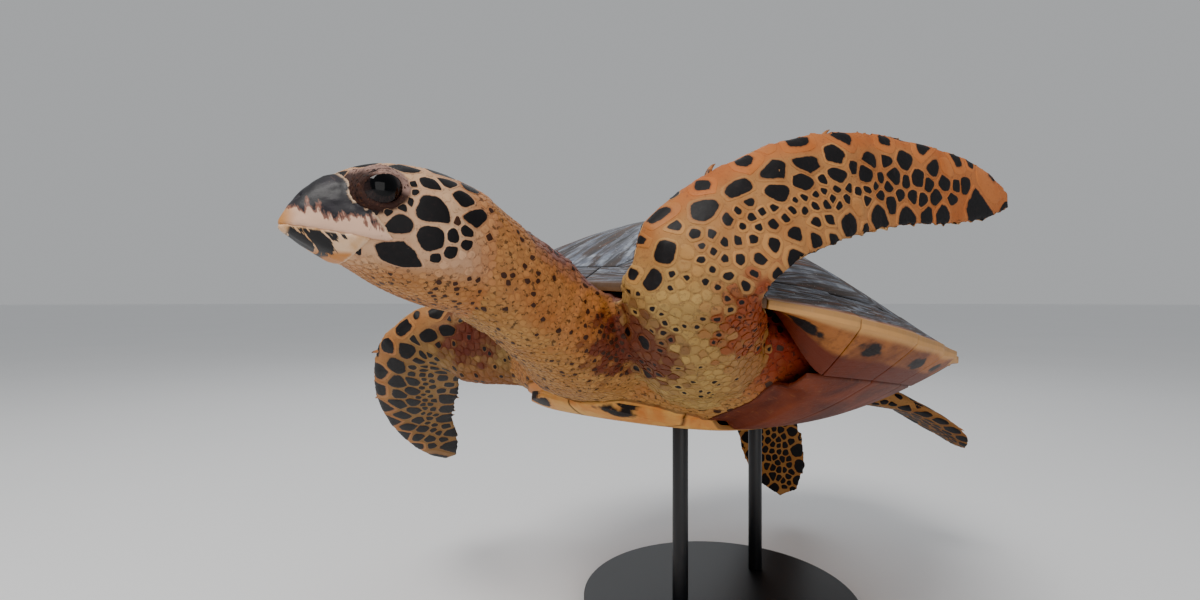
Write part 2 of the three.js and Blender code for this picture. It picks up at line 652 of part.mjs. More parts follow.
// ---- Tail ----
const tailPath = new THREE.CatmullRomCurve3([vec(0, 200, -28), vec(0, 240, -40), vec(0, 285, -47)]);
const tailRadius = profile([[0, 20], [0.5, 14], [0.9, 6], [1, 2]]);
const tailTube = tube(10, 6, (t) => tailPath.getPoint(t), (t, angle) => {
  const p = tailPath.getPoint(t);
  return p.add(vec(tailRadius(t) * 1.2 * cos(angle), 0, tailRadius(t) * sin(angle)));
});
add('tail', trimmed(solid(tailTube).subtract(bodySpace)), 'scaled');

// ---- Display stand ----
turtle.position.z = bodyHeight;
turtle.updateMatrixWorld();
const baseRadius = 150;
const baseThickness = 12;
const rodRadius = 8;
const rodPlaces = [-85, 75];
const rodLength = bodyHeight - 40; // reaches up into the turtle, which cuts it to fit
const baseEdge = 3;
const baseMiddle = -10;
// Swollen past half a seam, so that no rod reaches up between two plates.
const plastronCover = wasm.Manifold.union(
  shellPieces.map((piece) => swollen(piece, 1.5 * seamGap)),
);
const turtleSpace = plastronCover.add(trunkSpace).transform(turtle.matrixWorld.elements);

const baseProfile = [[0, 0], [baseRadius, 0], [baseRadius, baseThickness - baseEdge],
  [baseRadius - baseEdge, baseThickness], [0, baseThickness]];
const base = new THREE.LatheGeometry(baseProfile.map((p) => new THREE.Vector2(...p)), 32);
base.rotateX(PI / 2);
base.translate(0, baseMiddle, 0);
add('stand_base', solid(base), 'stand', model);
rodPlaces.forEach((y, i) => {
  const rod = new THREE.CylinderGeometry(rodRadius, rodRadius, rodLength, 20);
  rod.rotateX(PI / 2);
  rod.translate(0, y, baseThickness + seamGap + rodLength / 2);
  const name = i === 0 ? 'stand_rod_front' : 'stand_rod_rear';
  add(name, trimmed(solid(rod).subtract(turtleSpace)), 'stand', model);
});

// The origin is the middle of the model's box, at the floor.
const wholeBox = new THREE.Box3().setFromObject(model, true);
const boxMiddle = wholeBox.getCenter(new THREE.Vector3());
model.position.set(-boxMiddle.x, -boxMiddle.y, 0);

export default model;
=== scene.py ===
import math
import random

import bmesh
import bpy
import numpy as np
from mathutils import Matrix, Vector, noise
from mathutils.bvhtree import BVHTree
from mathutils.kdtree import KDTree


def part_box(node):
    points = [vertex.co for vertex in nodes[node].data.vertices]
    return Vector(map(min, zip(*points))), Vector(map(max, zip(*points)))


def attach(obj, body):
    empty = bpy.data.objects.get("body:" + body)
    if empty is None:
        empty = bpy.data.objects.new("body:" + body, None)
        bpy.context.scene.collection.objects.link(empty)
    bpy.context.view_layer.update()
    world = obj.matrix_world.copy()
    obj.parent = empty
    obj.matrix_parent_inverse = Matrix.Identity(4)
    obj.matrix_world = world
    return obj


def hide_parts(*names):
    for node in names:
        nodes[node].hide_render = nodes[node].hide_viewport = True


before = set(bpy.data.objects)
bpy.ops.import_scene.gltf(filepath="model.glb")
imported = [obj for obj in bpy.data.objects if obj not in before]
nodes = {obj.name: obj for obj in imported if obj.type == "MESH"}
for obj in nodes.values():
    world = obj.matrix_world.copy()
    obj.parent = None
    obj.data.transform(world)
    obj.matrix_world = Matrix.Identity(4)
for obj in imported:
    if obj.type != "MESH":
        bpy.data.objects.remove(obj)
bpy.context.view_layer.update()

scene = bpy.context.scene
radians = math.radians
sides = [("left", 1), ("right", -1)]

# The turtle's own frame: the middle of its shell, nose up by the pitch, +X its left side.
stance = {
    "pitch": 9,                       # degrees
    "height": 0.288,
    "frontRod": -0.085,               # the front rod's place before the shell's middle
    "head": (0.027, -0.429, 0.026),   # the head's middle in the turtle's frame
    "headAside": 12,                  # degrees
    "headUp": 1,
}
rodLow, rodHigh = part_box("stand_rod_front")
shellMiddle = (rodLow + rodHigh) / 2 - Vector((0, stance["frontRod"], 0))
shellMiddle.z = stance["height"]
turtleFrame = Matrix.Translation(shellMiddle) @ Matrix.Rotation(-radians(stance["pitch"]), 4, "X")
headFrame = (turtleFrame @ Matrix.Translation(stance["head"])
             @ Matrix.Rotation(-radians(stance["headAside"]), 4, "Z")
             @ Matrix.Rotation(radians(stance["headUp"]), 4, "X"))
turtleTurn = np.array(turtleFrame.to_3x3())
headTurn = np.array(headFrame.to_3x3())


def linear(r, g, b):
    # a colour given in 0 to 255 screen values
    def one(v):
        v = v / 255
        return v / 12.92 if v <= 0.04045 else ((v + 0.055) / 1.055) ** 2.4
    return (one(r), one(g), one(b))


def rgba(r, g, b):
    return (*linear(r, g, b), 1)


def smooth(v, low, high):
    # 0 below low, 1 above high, also for arrays and for high < low
    t = np.clip((v - low) / (high - low), 0, 1)
    return t * t * (3 - 2 * t)


def deselectAll():
    if bpy.context.mode != "OBJECT":
        bpy.ops.object.mode_set(mode="OBJECT")
    bpy.ops.object.select_all(action="DESELECT")


def makeActive(piece):
    deselectAll()
    piece.select_set(True)
    bpy.context.view_layer.objects.active = piece


def applyModifier(piece, kind, **settings):
    makeActive(piece)
    modifier = piece.modifiers.new(kind.lower(), kind)
    for key, value in settings.items():
        setattr(modifier, key, value)
    bpy.ops.object.modifier_apply(modifier=modifier.name)


def newPiece(name, mesh):
    piece = bpy.data.objects.new(name, mesh)
    scene.collection.objects.link(piece)
    return piece


def handIn(piece, material, replaced=()):
    piece.data.materials.clear()
    piece.data.materials.append(material)
    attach(piece, "root")
    if replaced:
        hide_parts(*replaced)


# ---- camera and light ----
view = {"lens": 18.81, "sensor": 36, "near": 0.01, "turn": 41.6, "fromShell": (0.365, -0.620, 0.050)}
cameraData = bpy.data.cameras.new("camera")
cameraData.lens = view["lens"]
cameraData.sensor_width = view["sensor"]
cameraData.clip_start = view["near"]
camera = bpy.data.objects.new("camera", cameraData)
camera.location = shellMiddle + Vector(view["fromShell"])
camera.rotation_euler = (radians(90), 0, radians(view["turn"]))
scene.collection.objects.link(camera)
scene.camera = camera

lights = [
    # name, place, aimed at, size, watts, colour
    ("key", (0.2, -1.5, 2.3), (0, -0.1, 0.35), 1.2, 84, (1, 0.97, 0.93)),
    ("fill", (2.2, -1.4, 0.7), (0, -0.1, 0.3), 1.8, 24, (1, 0.98, 0.95)),
    ("back", (-1.3, 1.6, 1.9), (0, 0, 0.35), 1.4, 16, (0.92, 0.96, 1)),
]
for name, spot, aim, size, watts, colour in lights:
    data = bpy.data.lights.new(name, "AREA")
    data.energy = watts
    data.size = size
    data.color = colour
    lamp = bpy.data.objects.new(name, data)
    lamp.location = spot
    lamp.rotation_euler = (Vector(aim) - Vector(spot)).to_track_quat("-Z", "Y").to_euler()
    scene.collection.objects.link(lamp)

studio = {"air": (0.86, 0.88, 0.90, 1), "strength": 0.85, "transform": "AgX", "look": "AgX - Punchy"}
world = bpy.data.worlds.new("studio")
world.use_nodes = True
background = world.node_tree.nodes["Background"]
background.inputs["Color"].default_value = studio["air"]
background.inputs["Strength"].default_value = studio["strength"]
scene.world = world
scene.view_settings.view_transform = studio["transform"]
scene.view_settings.look = studio["look"]


# ---- shader wiring ----
class Wire:
    # one output of a node, so that shader maths can be written as plain expressions

    def __init__(self, tree, socket=None):
        self.tree = tree
        self.socket = socket

    def node(self, kind, settings=None, inputs=None, out=0):
        made = self.tree.nodes.new("ShaderNode" + kind)
        for key, value in (settings or {}).items():
            setattr(made, key, value)
        for key, value in (inputs or {}).items():
            if isinstance(value, Wire):
                self.tree.links.new(value.socket, made.inputs[key])
            else:
                made.inputs[key].default_value = value
        return Wire(self.tree, made.outputs[out])

    def maths(self, operation, *values):
        return self.node("Math", {"operation": operation}, dict(enumerate(values)))

    def __add__(self, other):
        return self.maths("ADD", self, other)

    def __radd__(self, other):
        return self.maths("ADD", other, self)

    def __sub__(self, other):
        return self.maths("SUBTRACT", self, other)

    def __rsub__(self, other):
        return self.maths("SUBTRACT", other, self)

    def __mul__(self, other):
        return self.maths("MULTIPLY", self, other)

    def __rmul__(self, other):
        return self.maths("MULTIPLY", other, self)

    def __pow__(self, other):
        return self.maths("POWER", self, other)

    def step(self, low, high):
        settings = {"interpolation_type": "SMOOTHSTEP"}
        return self.node("MapRange", settings, {0: self, 1: low, 2: high, 3: 0.0, 4: 1.0})

    def mixed(self, first, second):
        # this wire is the share of the second colour
        return self.node("Mix", {"data_type": "RGBA"}, {0: self, 6: first, 7: second}, out=2)

    def scaled(self, by):
        return self.node("VectorMath", {"operation": "MULTIPLY"}, {0: self, 1: by})

    def vector(self, x, y, z=0.0):
        return self.node("CombineXYZ", None, {0: x, 1: y, 2: z})

    def parts(self):
        # the three values of a colour
        split = self.node("SeparateColor", None, {"Color": self}).socket.node
        return [Wire(self.tree, split.outputs[k]) for k in range(3)]

    def noise(self, scale, detail=3.0, roughness=0.55, distortion=0.0):
        inputs = {"Vector": self, "Scale": scale, "Detail": detail, "Roughness": roughness,
                  "Distortion": distortion}
        return self.node("TexNoise", None, inputs)


def newMaterial(name):
    material = bpy.data.materials.new(name)
    material.use_nodes = True
    start = Wire(material.node_tree)
    return material, start, start.node("TexCoord", None, None, 3)


def attribute(start, name, out="Color"):
    # out 3 is the alpha
    return start.node("Attribute", {"attribute_name": name}, None, out)


def finishMaterial(material, colour, roughness, height=None, bump=None, fixed=None):
    # bump is (strength, distance in metres), fixed holds the shader's constant sockets
    tree = material.node_tree
    shader = tree.nodes["Principled BSDF"]
    for socket, value in (("Base Color", colour), ("Roughness", roughness)):
        if isinstance(value, Wire):
            tree.links.new(value.socket, shader.inputs[socket])
        else:
            shader.inputs[socket].default_value = value
    for key, value in (fixed or {}).items():
        shader.inputs[key].default_value = value
    if height is not None:
        inputs = {"Strength": bump[0], "Distance": bump[1], "Height": height}
        normal = height.node("Bump", None, inputs)
        tree.links.new(normal.socket, shader.inputs["Normal"])
    return material


print("frame, camera and lights ready")

# ---- the limbs' lie: middle line, leading edge and half-width from root to tip, in mm ----
limbs = {
    "front_flipper_left": {
        "middle": [(96, -200, -20), (118, -238, -12), (135, -277, 10), (149, -283, 37),
                   (166, -266, 62), (184, -232, 86), (201, -188, 106), (218, -140, 119),
                   (236, -88, 128), (253, -38, 135), (268, 2, 138)],
        "lead": [(-0.6, -0.78, -0.1), (-0.76, -0.64, -0.1), (-0.84, -0.52, 0.0),
                 (-0.82, -0.4, 0.38), (-0.68, -0.22, 0.7), (-0.44, -0.07, 0.89),
                 (-0.22, 0.04, 0.97), (-0.06, 0.11, 0.99), (0.03, 0.14, 0.98),
                 (0.13, 0.2, 0.97), (0.16, 0.25, 0.96)],
        "half": [56, 52, 49, 48, 45, 44, 42, 37, 33, 26, 9],
    },
    "front_flipper_right": {
        "middle": [(-92, -208, -20), (-116, -231, -22), (-134, -260, -29), (-152, -275, -37),
                   (-177, -272, -54), (-208, -251, -77), (-237, -230, -98), (-263, -204, -119),
                   (-285, -172, -141), (-302, -142, -160), (-313, -120, -172)],
        "lead": [(-0.3, -0.7, 0.6), (-0.3, -0.65, 0.68), (-0.29, -0.71, 0.64),
                 (-0.28, -0.84, 0.47), (-0.4, -0.86, 0.31), (-0.49, -0.86, 0.13),
                 (-0.53, -0.85, 0.03), (-0.53, -0.84, -0.08), (-0.6, -0.77, -0.2),
                 (-0.65, -0.7, -0.3), (-0.7, -0.6, -0.4)],
        "half": [50, 48, 44, 43, 45, 46, 43, 38, 32, 23, 8],
    },
    "hind_flipper_left": {
        "middle": [(80, 178, -28), (102, 206, -37), (126, 230, -47), (147, 257, -60),
                   (165, 287, -77), (175, 306, -91)],
        "lead": [(0.75, -0.65, 0.0), (0.68, -0.73, 0.05), (0.62, -0.78, 0.1),
                 (0.6, -0.8, 0.12), (0.6, -0.8, 0.12), (0.6, -0.8, 0.1)],
        "half": [32, 34, 40, 44, 36, 13],
    },
    "hind_flipper_right": {
        "middle": [(-82, 196, -34), (-82, 232, -56), (-76, 268, -92), (-70, 292, -134),
                   (-63, 312, -172), (-58, 326, -198)],
        "lead": [(-0.85, -0.45, 0.1), (-0.8, -0.6, 0.0), (-0.76, -0.65, -0.05),
                 (-0.75, -0.66, -0.1), (-0.75, -0.65, -0.14), (-0.75, -0.62, -0.2)],
        "half": [34, 37, 45, 48, 37, 14],
    },
    "neck": {
        "middle": [(36.6, -386.8, 26.2), (40, -352, 12), (33, -312, 0), (16, -262, -6),
                   (0, -205, -10)],
        "lead": [(1, -0.21, 0), (1, -0.3, 0), (1, -0.25, 0), (1, -0.1, 0), (1, 0, 0)],
        "half": [38, 42, 52, 70, 80],
    },
    "tail": {
        "middle": [(0, 200, -28), (0, 240, -40), (0, 285, -47)],
        "lead": [(1, 0, 0), (1, 0, 0), (1, 0, 0)],
        "half": [22, 16, 5],
    },
}
lineSteps = 80


def spread(rows):
    # even steps along a limb from the rows at its stations
    stations = np.linspace(0, 1, len(rows))
    steps = np.linspace(0, 1, lineSteps)
    return np.stack([np.interp(steps, stations, values) for values in np.array(rows, float).T], 1)


for limb in limbs.values():
    middle = spread(limb["middle"]) / 1000
    limb["line"] = middle @ turtleTurn.T + np.array(shellMiddle)
    along = np.gradient(limb["line"], axis=0)
    limb["along"] = along / np.linalg.norm(along, axis=1, keepdims=True)
    lead = spread(limb["lead"]) @ turtleTurn.T
    lead -= limb["along"] * np.sum(lead * limb["along"], axis=1, keepdims=True)
    limb["leadLine"] = lead / np.linalg.norm(lead, axis=1, keepdims=True)
    limb["halfLine"] = spread([[half] for half in limb["half"]])[:, 0] / 1000


def limbPlace(name, points):
    # share of the length, place across from -1 (trailing) to 1 (leading), and the line's row
    limb = limbs[name]
    gaps = np.linalg.norm(points[:, None, :] - limb["line"][None, :, :], axis=2)
    row = np.argmin(gaps, axis=1)
    offset = points - limb["line"][row]
    across = np.sum(offset * limb["leadLine"][row], axis=1) / limb["halfLine"][row]
    return row / (lineSteps - 1), across, row


# ---- the shell: its surfaces in mm, in the turtle's frame ----
shell = {
    "halfWide": 240,
    "widest": -82,            # where along the shell it is widest
    "front": (218, 2.45),     # reach of the outline before that line, and its roundness
    "rear": (382, 1.8),
    "dome": 112,
    "keel": (4, 26),          # height and half width
    "depth": 79,
    "slope": 0.055,
    "rim": 3,
    "flat": (0.6, 0.3, 0.4),  # flat share of the underside: front, side, rear
    "seam": 0.35,             # half the gap between two scutes
    "inner": 0.86,            # where the marginals begin, as a share of the outline
    "scuteDeep": 3.4,
    "marginDeep": 14.5,
    "nuchalTurn": 0.24,
    "marginals": 12,
    "bridge": (1.03, 2.42),   # turns between which the bridge joins the rim
}


def mix(a, b, t):
    return a + (b - a) * t


def smoothstep(v, low, high):
    t = min(max((v - low) / (high - low), 0), 1)
    return t * t * (3 - 2 * t)


def shareOf(x, y):
    # 0 at the shell's widest line's middle, 1 on its outline
    reach, power = shell["front"] if y < shell["widest"] else shell["rear"]
    return (abs(x / shell["halfWide"]) ** power
            + abs((y - shell["widest"]) / reach) ** power) ** (1 / power)


def outlineAt(turn, part):
    # turn runs from 0 at the front to pi at the back
    r = part / shareOf(math.sin(turn), shell["widest"] - math.cos(turn))
    return r * math.sin(turn), shell["widest"] - r * math.cos(turn)


def rimHeight(y):
    t = y - shell["widest"]
    return 14 * (t / shell["front"][0]) ** 2 if t < 0 else 8 * (t / shell["rear"][0]) ** 2


def topHeight(x, y):
    inside = max(math.cos(min(shareOf(x, y), 1) * math.pi / 2), 0)
    high, wide = shell["keel"]
    keel = high * math.exp(-((x / wide) ** 2)) * smoothstep(y, -240, -60)
    return rimHeight(y) + shell["rim"] + shell["dome"] * inside ** 1.1 + keel * inside ** 0.5


def bottomHeight(x, y):
    ahead = y < shell["widest"]
    along = (y - shell["widest"]) / (shell["front"][0] if ahead else shell["rear"][0])
    far = math.hypot(x / shell["halfWide"], along)
    lengthwise = (along / far) ** 2 if far > 1e-6 else 0
    front, side, rear = shell["flat"]
    flat = mix(side, front if ahead else rear, lengthwise)
    out = min(max((shareOf(x, y) - flat) / (1 - flat), 0), 1)
    deep = shell["depth"] - shell["slope"] * (y - shell["widest"])
    return rimHeight(y) - shell["rim"] - deep * max(math.cos(out * math.pi / 2), 0) ** 0.9


# ---- the skin: the nodes of flesh made one, smoothed and drawn in under the scales ----
skinPlan = {
    "voxel": 0.0028,
    "grow": 0.0006,       # closes the seams between the nodes
    "growLimbs": 0.0015,  # keeps the flippers' thin edges whole
    "depth": 0.0010,      # how far the skin lies inside the nodes
    "thinShare": 0.28,    # the most that it is drawn in, as a share of the flesh's thickness
    "smoothing": 7,
    "thinning": 0.93,     # share of the faces under the shell that are taken out
    "orbit": (0.0222, -0.0208, 0.0142),
    "orbitRadius": 0.0162,
    "eyeRadius": 0.0138,
}
fleshNames = ["trunk", "neck", "head", "lower_jaw", "upper_beak", "lower_beak",
              "front_flipper_left", "front_flipper_right", "hind_flipper_left",
              "hind_flipper_right", "tail"]
skinNames = [name for name in fleshNames if "beak" not in name]


def mergedCopy(names, grow=0.0, growLimbs=0.0):
    # copies of CAD nodes with their doubles merged, each pushed out along its normals
    same = 0.00002
    whole = bmesh.new()
    for name in names:
        part = bmesh.new()
        part.from_mesh(nodes[name].data)
        bmesh.ops.remove_doubles(part, verts=part.verts, dist=same)
        part.normal_update()
        for vert in part.verts:
            vert.co += vert.normal * (growLimbs if "flipper" in name else grow)
        mesh = bpy.data.meshes.new("part")
        part.to_mesh(mesh)
        part.free()
        whole.from_mesh(mesh)
        bpy.data.meshes.remove(mesh)
    return whole


def coordinates(mesh):
    values = np.empty(len(mesh.vertices) * 3, np.float32)
    mesh.vertices.foreach_get("co", values)
    return values.reshape(-1, 3).astype(float)


def vertexNormals(mesh):
    values = np.empty(len(mesh.vertices) * 3, np.float32)
    mesh.vertex_normals.foreach_get("vector", values)
    return values.reshape(-1, 3).astype(float)


def setCoordinates(mesh, points):
    mesh.vertices.foreach_set("co", points.astype(np.float32).ravel())
    mesh.update()


whole = mergedCopy(fleshNames, skinPlan["grow"], skinPlan["growLimbs"])
eyeMiddles = []
for _, mirror in sides:
    x, y, z = skinPlan["orbit"]
    middle = headFrame @ Vector((mirror * x, y, z))
    eyeMiddles.append(middle)
    bmesh.ops.create_uvsphere(whole, u_segments=32, v_segments=20,
                              radius=skinPlan["orbitRadius"], matrix=Matrix.Translation(middle))
skinMesh = bpy.data.meshes.new("turtleSkin")
whole.to_mesh(skinMesh)
whole.free()
skin = newPiece("turtleSkin", skinMesh)
applyModifier(skin, "REMESH", mode="VOXEL", voxel_size=skinPlan["voxel"], adaptivity=0.0)

print("skin remeshed", len(skin.data.polygons))
applyModifier(skin, "SMOOTH", factor=0.5, iterations=skinPlan["smoothing"])


def treeOf(names):
    # a search tree over CAD nodes, with the name of each face's node
    verts, faces, owners = [], [], []
    for name in names:
        mesh = nodes[name].data
        start = len(verts)
        verts.extend(vert.co.copy() for vert in mesh.vertices)
        faces.extend([start + i for i in poly.vertices] for poly in mesh.polygons)
        owners.extend([name] * len(mesh.polygons))
    return BVHTree.FromPolygons(verts, faces), owners


plateNames = [name for name in nodes if name not in fleshNames
              and not name.startswith(("eye", "claw", "stand"))]
plateTree = treeOf(plateNames)[0]
fleshTree, fleshOwners = treeOf(fleshNames)


def isCovered(point, normal, reach=0.008, back=0.003):
    # under a plate of the shell
    hit = plateTree.ray_cast(point - normal * back, normal, reach + back)
    return hit[0] is not None


# what the shell hides needs few faces
hidden = [vert.index for vert in skin.data.vertices if isCovered(vert.co, vert.normal)]
group = skin.vertex_groups.new(name="hidden")
group.add(hidden, 1.0, "REPLACE")
kept = 1 - skinPlan["thinning"] * len(hidden) / len(skin.data.vertices)
applyModifier(skin, "DECIMATE", ratio=kept, vertex_group="hidden", vertex_group_factor=10.0)
skin.vertex_groups.clear()
print("skin thinned inside the shell", len(skin.data.polygons))


# ---- sculpting: eye openings, the mouth line and the folds of the neck ----
sculpt = {
    "refineEye": (0.023, 0.018),     # within these reaches the faces are split once and twice
    "longestEdge": 0.0011,           # next to the eye
    "opening": (0.0114, 0.0066, 0.0092),   # the eye's opening: half length, up and down
    "openingReach": (0.008, 0.022),  # how far from the eye's middle the lids are shaped
    "crinkle": 0.0006,               # depth of the folds round the eye
    "openingTilt": 16,               # degrees, the rear corner higher
    "floorBelowEye": 0.0016,
    "lid": 0.0009,                   # how far the rims of the lids stand out
    "lidMiddle": (-26.5, 14.0),      # middle of the dark lids, half length and half height, mm
    "lidHalf": (20.5, 15.5),
    "mouthHeight": (-0.011, -0.055),       # at the tip of the beak, and its slope
    "mouthTip": -0.064,
    "mouthRear": 0.010,
    "mouthDepth": 0.0014,
    "mouthWide": 0.0013,
    "foldHeight": 0.0016,
    "foldSize": (14, 1.6, 22),       # folds along, across and round the neck
    "tuck": (1.0, 1.13),             # shares of the shell's outline between which the nape dives
    "tuckDeep": 8,                   # mm under the shell's top
}


def mouthGap(y, z):
    # height above the mouth line, in the head's frame
    start, slope = sculpt["mouthHeight"]
    return z - (start + (y - sculpt["mouthTip"]) * slope)


shape = bmesh.new()
shape.from_mesh(skin.data)
for reach, longest in zip(sculpt["refineEye"], (0, sculpt["longestEdge"])):
    near = [edge for edge in shape.edges if edge.calc_length() > longest
            and min((edge.verts[0].co - middle).length for middle in eyeMiddles) < reach]
    bmesh.ops.subdivide_edges(shape, edges=near, cuts=1, use_grid_fill=True, smooth=0.3)
bmesh.ops.triangulate(shape, faces=[face for face in shape.faces if len(face.verts) > 4])
shape.to_mesh(skin.data)
shape.free()

# drawn in by the scales' depth, less where the flesh is thin
points = coordinates(skin.data)
normals = vertexNormals(skin.data)
skinTree = BVHTree.FromPolygons(points.tolist(), [p.vertices[:] for p in skin.data.polygons])
draw = np.empty(len(points))
for i in range(len(points)):
    start = Vector(points[i]) - Vector(normals[i]) * 0.0002
    owner = fleshOwners[fleshTree.find_nearest(start)[2]]
    inward = skinPlan["growLimbs" if "flipper" in owner else "grow"] + skinPlan["depth"]
    hit = skinTree.ray_cast(start, -Vector(normals[i]), 0.01)
    draw[i] = inward if hit[0] is None else min(inward, skinPlan["thinShare"] * hit[3])
points -= normals * draw[:, None]

# folds of the neck and the roots of the limbs
local = (points - np.array(headFrame.translation)) @ headTurn
along, across, _ = limbPlace("neck", points)
neckShare = smooth(local[:, 1], 0.040, 0.075) * (1 - smooth(along, 0.85, 1.0))
sizes = sculpt["foldSize"]
for i in np.flatnonzero(neckShare > 0.01):
    spot = Vector((along[i] * sizes[0], across[i] * sizes[1], local[i, 2] * sizes[2]))
    fold = 1 - abs(noise.noise(spot)) * 2.2
    fine = noise.noise(spot * 3.1)
    points[i] += normals[i] * sculpt["foldHeight"] * neckShare[i] * (0.7 * fold + 0.35 * fine - 0.4)

# the nape dives under the front of the shell
body = (points - np.array(shellMiddle)) @ turtleTurn * 1000
first, last = sculpt["tuck"]
for i in np.flatnonzero((body[:, 1] < -200) & (body[:, 1] > -360) & (np.abs(body[:, 0]) < 110)
                        & (body[:, 2] > -10)):
    x, y, z = body[i]
    share = shareOf(x, y)
    weight = 1 - smoothstep(share, first, last)
    target = topHeight(x, y) - sculpt["tuckDeep"]
    if weight > 0 and z > target:
        points[i] -= turtleTurn[:, 2] * (weight * (z - target) / 1000)

# the mouth line runs on behind the beak
gap = mouthGap(local[:, 1], local[:, 2])
groove = (np.exp(-(gap / sculpt["mouthWide"]) ** 2) * smooth(local[:, 1], -0.050, -0.030)
          * (1 - smooth(local[:, 1], 0.0, sculpt["mouthRear"])) * (np.abs(local[:, 0]) > 0.012))
points -= normals * (groove * sculpt["mouthDepth"])[:, None]

# the opening of each eye is pushed in behind the eyeball, and its rim stands out as a lid
tilt = radians(sculpt["openingTilt"])
nearest, farthest = sculpt["openingReach"]
for (_, mirror), middle in zip(sides, eyeMiddles):
    offset = (points - np.array(middle)) @ headTurn
    offset[:, 0] *= mirror
    reach = np.linalg.norm(offset, axis=1)
    u = offset[:, 1] * math.cos(tilt) + offset[:, 2] * math.sin(tilt)
    w = -offset[:, 1] * math.sin(tilt) + offset[:, 2] * math.cos(tilt)
    halfLong, halfUp, halfDown = sculpt["opening"]
    ring = np.sqrt((u / halfLong) ** 2 + (w / np.where(w > 0, halfUp, halfDown)) ** 2)
    outer = (offset[:, 0] > 0.003) & (reach < farthest) & (reach > nearest)
    floor = skinPlan["eyeRadius"] - sculpt["floorBelowEye"]
    inside = outer & (ring < 1.0)
    target = np.where(ring < 0.94, floor, reach)
    lids = sculpt["lid"] * np.exp(-((ring - 1.13) / 0.1) ** 2)
    for i in np.flatnonzero(outer & (ring > 1.1) & (ring < 3)):
        spot = Vector((ring[i] * 8, math.atan2(w[i], u[i]) * 1.6, mirror))
        lids[i] += sculpt["crinkle"] * noise.noise(spot) * min(1, (ring[i] - 1.1) * 4)
    target = np.where(inside, target, reach + lids)
    target = np.where(outer, target, reach)
    points = np.array(middle) + (points - np.array(middle)) * (target / reach)[:, None]
setCoordinates(skin.data, points)

makeActive(skin)
bpy.ops.object.shade_smooth()
bpy.ops.object.mode_set(mode="EDIT")
bpy.ops.mesh.select_all(action="SELECT")
bpy.ops.uv.smart_project(angle_limit=1.15, island_margin=0.001)
bpy.ops.object.mode_set(mode="OBJECT")
skin.data.uv_layers[0].name = "OFBake"
print("skin sculpted", len(skin.data.polygons))


# ---- colours, sizes and lie of the scales, for any places on the skin ----
tones = {
    "cream": linear(206, 168, 116), "pinkCream": linear(218, 178, 140),
    "ochre": linear(178, 116, 60), "orange": linear(192, 110, 50), "tan": linear(178, 126, 72),
    "olive": linear(168, 138, 78), "rust": linear(128, 46, 22), "maroon": linear(84, 26, 24),
    "nape": linear(122, 84, 78), "black": linear(11, 8, 10), "brown": linear(54, 30, 18),
    "lid": linear(22, 15, 16), "lidTop": linear(172, 140, 128), "darkOlive": linear(142, 112, 64),
}
tones = {name: np.array(value) for name, value in tones.items()}


def blended(first, second, share):
    return first + (second - first) * np.asarray(share)[:, None]


patches = {     # middles of the dark and raw places of both sides, mm, and where each fades out
    "blood": ((98, -281, -30), -44, -22),
    "raw": ((170, -250, 0), -42, -20),
    "rust": ((150, -185, 5), -75, -35),
    "ripple": 11,
}


def patchShare(name, places, ripple=0):
    middle, low, high = patches[name]
    return smooth(ripple - np.linalg.norm(places - middle, axis=1), low, high)


